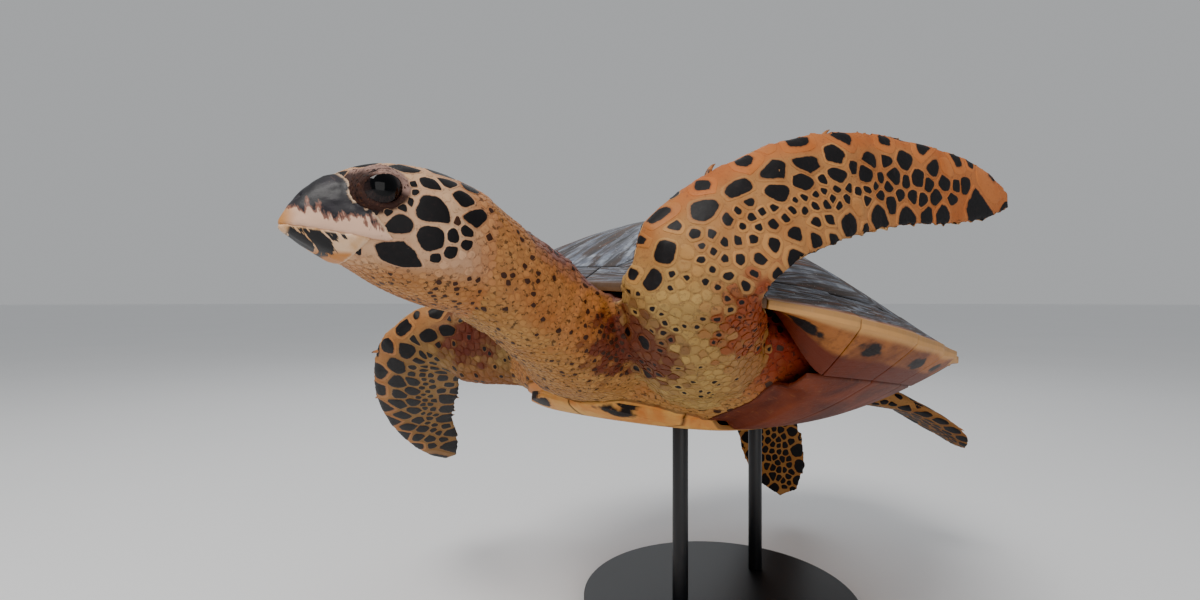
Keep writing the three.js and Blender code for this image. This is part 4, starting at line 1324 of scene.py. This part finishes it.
def onCarapace(x, y, s, t, tag, centre, under, lift=1.0):
    height = topHeight(x, y)
    if under:
        return x, y, height - shell["scuteDeep"]
    raised = scutes["lift"] * lift * smoothstep(t, 0.25, 1.0) + growth(s, t, centre, tag)
    return x, y, height + raised


def vertebral(i):
    tag = 0.05 + 0.09 * i

    def placed(s, t, under):
        (yFront, wFront), (yRear, wRear) = vertebralEnds[i], vertebralEnds[min(i + 1, 4)]
        ragged = raggedEdge(s, t, tag)
        if i < 4:
            wMiddle = vertebralMiddles[i][1]
            w = mix(wFront, wMiddle, 2 * t) if t < 0.5 else mix(wMiddle, wRear, 2 * t - 1)
            x = mix(-w + shell["seam"], w - shell["seam"], s)
            startY = innerEdge(x, True) if i == 0 else yFront + shell["seam"]
            y = mix(startY, yRear - shell["seam"] - abs(ragged), t)
        else:
            w = mix(wFront, rearCorner[0], t) - shell["seam"]
            x = mix(-w, w, s)
            y = mix(yFront + shell["seam"], innerEdge(x, False), t)
        return onCarapace(x, y, s, t, tag, (0.5, 0.82), under)
    return horn(f"vertebral{i + 1}", 34, 34, placed, tag)


zigzag = [knot for pair in zip(vertebralEnds, vertebralMiddles) for knot in pair] + vertebralEnds[4:]
costalKnots = [zigzag[0:4], zigzag[3:6], zigzag[5:8], zigzag[7:9]]


def costal(i, side, mirror):
    tag = 0.5 + 0.1 * i + (0.05 if mirror < 0 else 0)
    knots = costalKnots[i]

    def placed(s, t, under):
        f = t * (len(knots) - 1)
        k = min(int(f), len(knots) - 2)
        y = mix(knots[k][0], knots[k + 1][0], f - k)
        x = mix(knots[k][1], knots[k + 1][1], f - k) + shell["seam"]
        splay = scutes["costalSplay"]
        turn = mix(costalTurns[i] + splay, costalTurns[i + 1] - splay, t)
        outX, outY = outlineAt(turn, innerShare)
        ragged = abs(raggedEdge(s, t, tag))
        inset = shell["seam"] * (1 - 2 * t) - ragged - scutes["bulge"] * s * (1 - s)
        x, y = mix(x, outX, s), mix(y, outY, s) + inset
        return onCarapace(mirror * x, y, s, t, tag, (0.25, 0.80), under, 1 - 0.6 * s)
    return horn(f"costal{i + 1}{side.title()}", 36, 36, placed, tag)


def rimTurns(steps=400):
    # the marginals share the rim from the nuchal to the tail in equal lengths
    turns = [mix(shell["nuchalTurn"], math.pi, i / steps) for i in range(steps + 1)]
    lengths = [0.0]
    for first, last in zip(turns, turns[1:]):
        lengths.append(lengths[-1] + math.dist(outlineAt(first, 1), outlineAt(last, 1)))
    count = shell["marginals"]
    marks = [lengths[-1] * m / count for m in range(1, count)]
    found = [next(k for k, length in enumerate(lengths) if length > mark) for mark in marks]
    return [turns[k] for k in [0, *found, steps]]


marginalTurns = rimTurns()


def serration(m, t):
    # the rim's saw teeth grow from the third marginal to the ninth
    high, point = 0.055, 0.75
    rise = (t / point) ** 1.6 if t < point else (1 - t) / (1 - point)
    return high * smoothstep(m, 2.5, 9) * (rise - 0.3)


def bridgeShare(turn):
    first, last = shell["bridge"]
    return smoothstep(turn, first - 0.2, first + 0.07) * (1 - smoothstep(turn, last - 0.1, last + 0.15))


def ringPlace(turn, s, edge, t, tag, under, lift):
    x, y = outlineAt(abs(turn), mix(shell["inner"], 1, s) + s * edge)
    roof = topHeight(x, y)
    if under:
        thin = mix(shell["marginDeep"], 2 * shell["rim"], s)
        deep = roof - bottomHeight(x, y)
        thick = mix(thin, max(deep, thin), bridgeShare(abs(turn)))
        return math.copysign(x, turn), y, roof - thick
    raised = lift * smoothstep(t, 0.2, 1.0) + 0.5 * growth(s, t, (0.2, 0.8), tag)
    return math.copysign(x, turn), y, roof + raised * (1 - 0.5 * s)


def marginal(m, side, mirror):
    tag = 0.1 + 0.07 * m + (0.03 if mirror < 0 else 0)
    first, last = marginalTurns[m] + scutes["splay"], marginalTurns[m + 1] - scutes["splay"]

    def placed(s, t, under):
        return ringPlace(mirror * mix(first, last, t), s, serration(m, t), t, tag, under, 1.2)
    return horn(f"marginal{m + 1}{side.title()}", 14, 22, placed, tag)


def joined(name, pieces):
    makeActive(pieces[0])
    for piece in pieces[1:]:
        piece.select_set(True)
    if len(pieces) > 1:
        bpy.ops.object.join()
    pieces[0].name = name
    return pieces[0]


# the plastron: place along and half width, and where its seams lie along
plastronSides = [(-240, 34), (-225, 62), (-190, 92), (-130, 112), (0, 116), (95, 98), (155, 74),
                 (195, 42)]
plastronSeams = [-240, -198, -118, -40, 45, 128, 195]
plastronNames = ["gular", "humeral", "pectoral", "abdominal", "femoral", "anal"]


def plastronHalf(y):
    # the same smooth curve through the pairs as the solids have
    pairs = plastronSides
    if y <= pairs[0][0]:
        return pairs[0][1]
    if y >= pairs[-1][0]:
        return pairs[-1][1]
    i = next(k for k, pair in enumerate(pairs) if pair[0] > y) - 1

    def slope(k):
        a, b = pairs[max(k - 1, 0)], pairs[min(k + 1, len(pairs) - 1)]
        return (b[1] - a[1]) / (b[0] - a[0])
    (x0, y0), (x1, y1) = pairs[i], pairs[i + 1]
    h = x1 - x0
    t = (y - x0) / h
    a = slope(i) * h - (y1 - y0)
    b = -slope(i + 1) * h + (y1 - y0)
    return mix(y0, y1, t) + t * (1 - t) * (a * (1 - t) + b * t)


lip = {      # the rims of the lower plates, which climb the flesh; mm
    "high": 17,
    "bridgeHigh": 13,
    "from": 0.72,          # share of the plate's width where the lip begins
    "front": 0.35,         # share of the first plate's length that is lip
    "lobe": (-190, -166),  # between these places along the shell the lip runs out
    "outside": 1.7,
    "inside": -0.8,
    "blend": 6,
}
bridgeRun = {"ends": (-181, 97), "gap": 0.0014, "plates": 4, "inset": 0.008, "off": 0.7}
turtleBack = turtleFrame.inverted()


def hugged(x, y, z, rise, under):
    # a place on a plate's lip, which climbs the flesh beside it
    spot, normal, _, _ = skinSurface.find_nearest(turtleFrame @ (Vector((x, y, z + rise)) / 1000))
    near = turtleBack @ (spot + normal * (lip["inside"] if under else lip["outside"]) / 1000) * 1000
    share = smoothstep(rise, 0, lip["blend"])
    return mix(x, near.x, share), mix(y, near.y, share), mix(z + rise, near.z, share)


def underPlate(name, side, mirror, i):
    tag = 0.08 + 0.15 * i + (0.04 if mirror < 0 else 0)

    def placed(s, t, under):
        front = lip["front"] if i == 0 else 0
        y = mix(plastronSeams[i] + shell["seam"], plastronSeams[i + 1] - shell["seam"],
                max(t - front, 0) / (1 - front))
        lobe = 1 - smoothstep(y, *lip["lobe"])
        bend = mix(1.0, lip["from"], lobe)
        x = mix(shell["seam"], plastronHalf(y) - 0.2, min(s / bend, 1))
        height = bottomHeight(x, y)
        relief = 0.25 * growth(s, t, (0.7, 0.75), tag)
        height = height + shell["scuteDeep"] if under else height - relief
        rise = lip["high"] * lobe * (s - bend) / (1 - bend) if s > bend else 0
        if t < front:
            rise = max(rise, lip["high"] * (1 - t / front))
        return hugged(mirror * x, y, height, rise, under) if rise > 0 else (mirror * x, y, height)
    return horn(f"{name}{side.title()}", 24, 24, placed, tag)


def bridgePlate(k, side, mirror):
    tag = 0.2 + 0.2 * k + (0.04 if mirror < 0 else 0)
    count, gap = bridgeRun["plates"], bridgeRun["gap"]

    def placed(s, t, under):
        climb = (1 - smoothstep(t, 0.0, 0.4)) * (1 - smoothstep(s, 0.5, 0.9)) if k == 0 else 0
        t = mix(k / count + gap, (k + 1) / count - gap, t)
        outX, outY = outlineAt(mix(*shell["bridge"], t), shell["inner"] - bridgeRun["inset"])
        y = mix(*bridgeRun["ends"], t)
        x = mix(plastronHalf(y) + bridgeRun["off"], outX, s)
        y = mix(y, outY, s)
        height = bottomHeight(x, y)
        relief = 0.25 * growth(s, t * count % 1, (0.4, 0.7), tag)
        height = height + shell["scuteDeep"] if under else height - relief
        if climb > 0:
            return hugged(mirror * x, y, height, lip["bridgeHigh"] * climb, under)
        return mirror * x, y, height
    return horn(f"bridge{k + 1}{side.title()}", 18, 16, placed, tag)


shellPieces = []   # (piece, slot, nodes that it stands for)
for i in range(5):
    shellPieces.append((vertebral(i), "carapace", [f"vertebral_{i + 1}"]))


def nuchalPlace(s, t, under):
    turn = shell["nuchalTurn"] - scutes["splay"]
    return ringPlace(mix(-turn, turn, t), s, 0, 0.2, nuchalTag, under, 0.8)


nuchalTag = 0.93
nuchal = horn("nuchal", 14, 26, nuchalPlace, nuchalTag)
shellPieces.append((nuchal, "marginal", ["nuchal"]))
for side, mirror in sides:
    for i in range(4):
        shellPieces.append((costal(i, side, mirror), "carapace", [f"costal_{i + 1}_{side}"]))
    for order, group in enumerate(("front", "middle", "rear")):
        four = [marginal(4 * order + k, side, mirror) for k in range(4)]
        name = f"marginals{group.title()}{side.title()}"
        shellPieces.append((joined(name, four), "marginal", [f"marginals_{group}_{side}"]))
    for i, name in enumerate(plastronNames):
        shellPieces.append((underPlate(name, side, mirror, i), "plastron", [f"{name}_{side}"]))
    four = [bridgePlate(k, side, mirror) for k in range(bridgeRun["plates"])]
    shellPieces.append((joined(f"bridge{side.title()}", four), "bridge", [f"bridge_{side}"]))
print("shell plates made", len(shellPieces))


# ---- horn materials ----
def hornMaterial(name, look):
    material, start, place = newMaterial(name)
    form = attribute(start, "form")
    above = attribute(start, "form", 3)
    s, t, tag = form.parts()
    grain = place.noise(300, 4, 0.65)
    fine = place.noise(1400, 3, 0.6)
    if look in ("carapace", "marginal"):
        # streaks that spread from the oldest place of the scute, finer across than along
        fan = start.vector((s - 0.4) * 46 + (t - 0.8) * (s - 0.4) * 30, t * 3.2, tag * 61)
        streak = fan.noise(1.0, 5, 0.6, 0.6)
        thick = fan.scaled((0.32, 0.6, 1)).noise(1.0, 4, 0.55, 1.2)
        weathered = place.noise(70, 5, 0.65)
        dark = streak.step(0.35, 0.62).mixed(rgba(20, 15, 16), rgba(66, 48, 38))
        pale = weathered.step(0.4, 0.7).mixed(rgba(104, 114, 132), rgba(168, 176, 188))
        colour = (thick.step(0.44, 0.60) * 0.85 * streak.step(0.3, 0.6)).mixed(dark, pale)
        amber = thick.step(0.28, 0.40)
        colour = (0.55 * (1 - amber)).mixed(colour, rgba(128, 66, 26))
        colour = grain.step(0.64, 0.74).mixed(colour, rgba(186, 186, 184))
        height = streak * 0.7 + grain * 0.3
        roughness = 0.50 + streak * 0.2
        seam = (s * (1 - s)).step(0.002, 0.022) * (t * (1 - t)).step(0.002, 0.022)
        colour = ((1 - seam) * 0.8).mixed(colour, rgba(18, 12, 12))
        if look == "marginal":
            ragged = (place.noise(46, 4) - 0.5) * 0.9
            shift = start.vector(tag * 23, tag * 7).noise(1, 2)
            # a blotch at each marginal's rear corner
            blotch = ((s - 0.46 - shift * 0.3) * 2.6) ** 2 + ((t - 1.2 + shift * 1.3) * 1.9) ** 2
            blotch = blotch + ragged + (shift - 0.5) * 0.3
            amberTone = place.noise(30, 3).step(0.35, 0.7).mixed(rgba(156, 94, 42), rgba(100, 48, 22))
            under = (s + ragged * 0.16).step(0.40, 0.54).mixed(rgba(92, 36, 18), amberTone)
            under = (place.noise(90, 4, 0.7).step(0.5, 0.7) * 0.5).mixed(under, rgba(70, 30, 18))
            under = (1 - blotch.step(0.12, 0.24)).mixed(under, rgba(20, 13, 13))
            under = (s.step(0.86, 0.98) * 0.7).mixed(under, rgba(206, 158, 98))
            # the nuchal and the first marginals are dark below
            front = tag.step(0.915, 0.925) + 1 - tag.step(0.21, 0.23)
            under = (front * 0.85).mixed(under, rgba(62, 42, 36))
            edge = s.step(0.74, 0.92)
            colour = (edge * 0.75).mixed(colour, under)
            colour = above.step(0.4, 0.6).mixed(under, colour)
        bump = (0.6, 0.0009)
    else:
        cloud = place.noise(24, 4, 0.6, 0.8)
        streak = start.vector(s * 30, t * 4, tag * 61).noise(1.0, 4, 0.6, 1.0)
        if look == "plastron":
            colour = cloud.step(0.3, 0.7).mixed(rgba(210, 160, 84), rgba(192, 110, 40))
            colour = (streak.step(0.6, 0.8) * 0.5).mixed(colour, rgba(110, 54, 22))
            blotch = ((s - 0.62) * 1.7) ** 2 + ((t - 0.5) * 2.4) ** 2 + (place.noise(50, 3) - 0.5) * 0.5
            front = 1 - (tag - 0.16).step(0.12, 0.2)
            colour = ((1 - blotch.step(0.05, 0.12)) * front).mixed(colour, rgba(20, 12, 12))
        else:
            # the bridge's dark browns are its horn darkened as painted shade, for the shadow under the
            # shell's side
            colour = cloud.step(0.3, 0.72).mixed(rgba(112, 46, 20), rgba(70, 26, 14))
            colour = (streak.step(0.58, 0.75) * 0.35).mixed(colour, rgba(160, 92, 46))
        rimShare = ((s * (1 - s)).step(0.0, 0.03)) * ((t * (1 - t)).step(0.0, 0.03))
        colour = ((1 - rimShare) * (0.65 if look == "plastron" else 0.3)).mixed(colour, rgba(52, 26, 16))
        speck = place.noise(160, 4, 0.7).step(0.60, 0.70)
        colour = (speck * 0.45).mixed(colour, rgba(138, 84, 50))
        height = streak * 0.5 + grain * 0.5
        roughness = 0.50 + grain * 0.2
        bump = (0.5, 0.0008)
    height = height + fine * 0.12
    return finishMaterial(material, colour, roughness, height, bump,
                          {"Specular IOR Level": 0.35})


hornLooks = {look: hornMaterial(look + "Horn", look)
             for look in ("carapace", "marginal", "plastron", "bridge")}
for piece, slot, replaced in shellPieces:
    handIn(piece, hornLooks[slot], replaced)


# ---- the beak: horn sheaths over the skin ----
beakPlan = {
    "voxel": 0.0010,
    "smoothing": 9,
    "swell": 0.0006,
    "ridge": 0.0003,
    "nostril": (0.0050, -0.0575, 0.0060),
    "nostrilDeep": 0.0018,
    "nostrilWide": 0.0017,
    "lip": 0.0025,        # next to the mouth line the rim isn't lowered
    "rimHeight": 0.35,    # what is left of the horn's height at its rim
    "rimWide": 0.006,
    "seam": 0.0016,       # width of the pale line round the rim
}


def beakPiece(name, node):
    mesh = bpy.data.meshes.new(name)
    copy = mergedCopy([node])
    copy.to_mesh(mesh)
    copy.free()
    piece = newPiece(name, mesh)
    applyModifier(piece, "REMESH", mode="VOXEL", voxel_size=beakPlan["voxel"], adaptivity=0.0)
    applyModifier(piece, "SMOOTH", factor=0.5, iterations=beakPlan["smoothing"])
    points, normals = coordinates(piece.data), vertexNormals(piece.data)
    local = (points - np.array(headFrame.translation)) @ headTurn

    # the rim where the horn ends on the skin, away from the mouth
    feet, hideNormals = np.empty_like(points), np.empty_like(points)
    lifts, facing = np.empty(len(points)), np.empty(len(points))
    for i, point in enumerate(points):
        spot, normal, _, _ = skinSurface.find_nearest(Vector(point))
        feet[i], hideNormals[i] = spot, normal
        lifts[i] = (Vector(point) - spot).dot(normal)
        facing[i] = Vector(normals[i]).dot(normal)
    gap = mouthGap(local[:, 1], local[:, 2])
    lipSide = (gap < beakPlan["lip"]) if node == "upper_beak" else (gap > -beakPlan["lip"])
    rim = (facing < 0.45) & (lifts > -0.0006) & (lifts < 0.0016) & ~lipSide
    rimTree = KDTree(int(rim.sum()))
    for row, i in enumerate(np.flatnonzero(rim)):
        rimTree.insert(points[i], row)
    rimTree.balance()
    away = np.array([rimTree.find(point)[2] for point in points])
    swell = np.full(len(points), beakPlan["swell"])
    for i, (x, y, z) in enumerate(local):
        swell[i] += beakPlan["ridge"] * noise.noise(Vector((x * 260, y * 40, z * 260)))
    if node == "upper_beak":
        x, y, z = beakPlan["nostril"]
        for mirror in (1, -1):
            reach = np.linalg.norm(local - (mirror * x, y, z), axis=1)
            swell -= beakPlan["nostrilDeep"] * np.exp(-(reach / beakPlan["nostrilWide"]) ** 2)
    outer = (lifts > 0.0002) & (facing > 0.3)
    points += normals * swell[:, None]
    lifts = np.einsum("ij,ij->i", points - feet, hideNormals)
    share = beakPlan["rimHeight"] + (1 - beakPlan["rimHeight"]) * smooth(away, 0.0, beakPlan["rimWide"])
    lowered = points - hideNormals * (lifts * (1 - share))[:, None]
    points = np.where(outer[:, None], lowered, points)
    setCoordinates(piece.data, points)
    makeActive(piece)
    bpy.ops.object.shade_smooth()
    seam = 1 - smooth(away, 0.5 * beakPlan["seam"], beakPlan["seam"])
    # places in the head's frame, in head lengths, and the pale seam, for the horn's markings
    colourLayer(piece.data, "form", np.hstack([local / 0.1 + 0.5, seam[:, None]]))
    return piece


def beakMaterial(name, upper):
    material, start, place = newMaterial(name)
    form = attribute(start, "form")
    seam = attribute(start, "form", 3)
    x, y, z = (part - 0.5 for part in form.parts())
    line = z + 0.11 + (y + 0.64) * 0.055       # height over the mouth line
    cloud = place.noise(70, 4, 0.6)
    grain = place.noise(600, 4, 0.65)
    if upper:
        streak = start.vector(y * 40 + z * 14, z * 8, x * 5).noise(1, 4, 0.6)
        ragged = (cloud - 0.5) * 0.20 + (streak - 0.5) * 0.20
        mask = (line + ragged + (y + 0.64) * 0.10).step(0.085, 0.125)
        pale = (y + 0.64).step(0.0, 0.08).mixed(rgba(188, 128, 66), rgba(214, 174, 148))
        dark = cloud.step(0.35, 0.7).mixed(rgba(10, 9, 16), rgba(26, 20, 30))
        fringe = mask * (1 - mask) * 4
        colour = mask.mixed(pale, dark)
        colour = (fringe * 0.8).mixed(colour, rgba(108, 54, 40))
        fleck = cloud.step(0.58, 0.64) * streak.step(0.56, 0.64) * (y + 0.42).step(0.02, -0.10)
        colour = (fleck * 0.7).mixed(colour, rgba(170, 124, 104))
    else:
        across = y * 0.62 + line * 0.78
        along = y * 0.78 - line * 0.62
        streak = start.vector(across * 58, along * 9, x * 3).noise(1, 3, 0.5)
        fine = start.vector(across * 170, along * 16, x * 3).noise(1, 3, 0.5)
        inside = (0 - line).step(0.004, 0.014) * (line + 0.125).step(0.0, 0.012)
        rear = 0 - y - 0.37 + (streak - 0.5) * 0.20 + (fine - 0.5) * 0.10
        inside = inside * (y + 0.61).step(0.0, 0.02) * rear.step(0.0, 0.012)
        pale = cloud.step(0.3, 0.7).mixed(rgba(220, 184, 150), rgba(196, 146, 92))
        pale = (0 - line).step(0.08, 0.11).mixed(pale, rgba(184, 116, 44))
        black = (streak + (fine - 0.5) * 0.35).step(0.41, 0.45) * inside
        colour = black.mixed(pale, rgba(12, 9, 12))
    colour = (seam * 0.85).mixed(colour, rgba(206, 172, 138))
    height = grain * 0.5 + cloud * 0.5
    return finishMaterial(material, colour, 0.40 + grain * 0.2, height, (0.4, 0.0006),
                          {"Specular IOR Level": 0.4, "Coat Weight": 0.05, "Coat Roughness": 0.2})


for name, node, slot in (("upperBeak", "upper_beak", "dark_horn"),
                         ("lowerBeak", "lower_beak", "pale_horn")):
    piece = beakPiece(name, node)
    handIn(piece, beakMaterial(name + "Horn", node == "upper_beak"), [node])
    print(name, "made", len(piece.data.polygons))

# ---- eyes ----
eyePlan = {"pupil": (0.30, 0.36), "iris": (0.52, 0.60), "cornea": 0.0006, "gaze": (1, -0.12, 0.10)}


def eyeMaterial():
    material, start, _ = newMaterial("wetEye")
    form = attribute(start, "form")
    turn, spin, _ = form.parts()
    rays = start.vector(spin * 40, turn * 3).noise(1, 3, 0.6)
    iris = rays.step(0.3, 0.75).mixed(rgba(16, 12, 14), rgba(44, 32, 30))
    colour = turn.step(*eyePlan["pupil"]).mixed(rgba(2, 2, 4), iris)
    colour = turn.step(*eyePlan["iris"]).mixed(colour, rgba(12, 10, 14))
    return finishMaterial(material, colour, 0.06 + rays * 0.02, None, None,
                          {"Specular IOR Level": 0.22, "Coat Weight": 0.12, "Coat Roughness": 0.03})


wetEye = eyeMaterial()
for (side, mirror), middle in zip(sides, eyeMiddles):
    x, y, z = eyePlan["gaze"]
    gaze = (headFrame.to_3x3() @ Vector((mirror * x, y, z))).normalized()
    deselectAll()
    bpy.ops.mesh.primitive_uv_sphere_add(segments=64, ring_count=40, radius=skinPlan["eyeRadius"])
    eye = bpy.context.object
    eye.name = f"eye{side.title()}"
    form = []
    turnTo = Vector((0, 0, 1)).rotation_difference(gaze)
    for vert in eye.data.vertices:
        outward = vert.co.normalized()
        turn = math.acos(max(min(outward.z, 1), -1)) / (math.pi / 2)
        spin = math.atan2(outward.y, outward.x) / math.tau + 0.5
        form.append((turn, spin, 0, 1))
        bulge = eyePlan["cornea"] * (1 - smoothstep(turn, 0.2, 0.6))
        vert.co = middle + turnTo @ (vert.co + outward * bulge)
    colourLayer(eye.data, "form", form)
    makeActive(eye)
    bpy.ops.object.shade_smooth()
    handIn(eye, wetEye, [f"eye_{side}"])
print("eyes made")


# ---- claws ----
def clawMaterial():
    material, _, place = newMaterial("clawHorn")
    grain = place.noise(500, 4, 0.6)
    colour = place.noise(160, 3).step(0.4, 0.65).mixed(rgba(170, 108, 56), rgba(70, 40, 24))
    return finishMaterial(material, colour, 0.42 + grain * 0.15, grain, (0.3, 0.0003),
                          {"Specular IOR Level": 0.4})


clawPlan = {
    "long": {"front": 0.012, "hind": 0.008},
    "second": 0.75,       # length of the outer claw against the inner one
    "thick": 0.21,        # radius at the root against the length
    "sunk": 0.2,          # how deep the root sits, against the length
    "stand": 0.30,        # how far the tip stands off, against the length
    "flat": 0.8,
    "rings": 8,
    "around": 10,
}


def growClaw(shape, root, bend, tip, across, long):
    # a horn of rings along a curve from its root to its tip
    previous = []
    for ring in range(clawPlan["rings"]):
        t = ring / clawPlan["rings"]
        at = root * (1 - t) ** 2 + bend * 2 * t * (1 - t) + tip * t ** 2
        onward = ((bend - root) * (1 - t) + (tip - bend) * t).normalized()
        upward = across.cross(onward).normalized()
        radius = long * clawPlan["thick"] * (1 - t) ** 0.7
        circle = []
        for k in range(clawPlan["around"]):
            turn = math.tau * k / clawPlan["around"]
            offset = across * math.cos(turn) * clawPlan["flat"] + upward * math.sin(turn)
            circle.append(shape.verts.new(at + offset * radius))
        if previous:
            for k, corner in enumerate(circle):
                shape.faces.new((previous[k - 1], previous[k], corner, circle[k - 1]))
        else:
            shape.faces.new(circle)
        previous = circle
    point = shape.verts.new(tip)
    for k, corner in enumerate(previous):
        shape.faces.new((previous[k - 1], corner, point))


clawNames = sorted(name for name in nodes if name.startswith("claw"))
claws = bmesh.new()
for name in clawNames:
    _, end, side, number = name.split("_")
    corners = [vert.co for vert in nodes[name].data.vertices]
    shares = limbPlace(f"{end}_flipper_{side}", np.array(corners))[0]
    lie = (corners[int(np.argmax(shares))] - corners[int(np.argmin(shares))]).normalized()
    long = clawPlan["long"][end] * (clawPlan["second"] if number == "2" else 1)
    spot, normal, _, _ = skinSurface.find_nearest(sum(corners, Vector()) / len(corners))
    rootSpot, rootNormal, _, _ = skinSurface.find_nearest(spot - lie * long * 0.5)
    root = rootSpot - rootNormal * long * clawPlan["sunk"]
    bend = spot + normal * long * clawPlan["stand"]
    tip = spot + lie * long * 0.5 + normal * long * clawPlan["stand"] * 0.8
    growClaw(claws, root, bend, tip, lie.cross(normal).normalized(), long)
bmesh.ops.recalc_face_normals(claws, faces=claws.faces)
clawMesh = bpy.data.meshes.new("claws")
claws.to_mesh(clawMesh)
claws.free()
clawPiece = newPiece("claws", clawMesh)
makeActive(clawPiece)
bpy.ops.object.shade_smooth_by_angle(angle=radians(50))
handIn(clawPiece, clawMaterial(), clawNames)
print("claws made")


# ---- display stand ----
def standMaterial():
    material, _, place = newMaterial("satinBlackPaint")
    peel = place.noise(900, 3, 0.5)
    scuffs = place.noise(14, 5, 0.7).step(0.62, 0.8)
    colour = (scuffs * 0.4).mixed(rgba(26, 27, 30), rgba(52, 54, 58))
    return finishMaterial(material, colour, 0.38 + scuffs * 0.15 + peel * 0.06, peel, (0.12, 0.0003),
                          {"Metallic": 0.0, "Specular IOR Level": 0.5})


paint = standMaterial()
stand = {"edge": 0.0022, "rodEdge": 0.0006, "inset": 0.001, "segments": 3, "around": 96}
for node, name in (("stand_base", "standBase"), ("stand_rod_front", "standRodFront"),
                   ("stand_rod_rear", "standRodRear")):
    low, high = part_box(node)
    deselectAll()
    bpy.ops.mesh.primitive_cylinder_add(vertices=stand["around"], radius=(high.x - low.x) / 2,
                                        depth=high.z - low.z, location=(low + high) / 2)
    piece = bpy.context.object
    piece.name = name
    bpy.ops.object.transform_apply(location=True)
    bpy.ops.object.mode_set(mode="EDIT")
    bpy.ops.mesh.select_all(action="DESELECT")
    bpy.ops.mesh.select_mode(type="FACE")
    bpy.ops.object.mode_set(mode="OBJECT")
    for face in piece.data.polygons:
        face.select = abs(face.normal.z) > 0.9
    bpy.ops.object.mode_set(mode="EDIT")
    bpy.ops.mesh.inset(thickness=stand["inset"])
    bpy.ops.object.mode_set(mode="OBJECT")
    width = stand["edge" if node == "stand_base" else "rodEdge"]
    applyModifier(piece, "BEVEL", width=width, segments=stand["segments"], limit_method="ANGLE",
                  angle_limit=radians(50))
    bpy.ops.object.shade_smooth_by_angle(angle=radians(35))
    handIn(piece, paint, [node])
print("stand made")


# ---- floor ----
def floorMaterial():
    material, _, place = newMaterial("paleFloor")
    cloud = place.noise(1.2, 3)
    colour = cloud.mixed(rgba(236, 237, 238), rgba(242, 242, 243))
    return finishMaterial(material, colour, 0.75, None, None, {"Specular IOR Level": 0.2})


floorPlan = {"radius": 60, "around": 96}
deselectAll()
bpy.ops.mesh.primitive_circle_add(vertices=floorPlan["around"], radius=floorPlan["radius"],
                                  fill_type="NGON")
floor = bpy.context.object
floor.name = "floor"
floor.data.materials.append(floorMaterial())

print("scene finished")
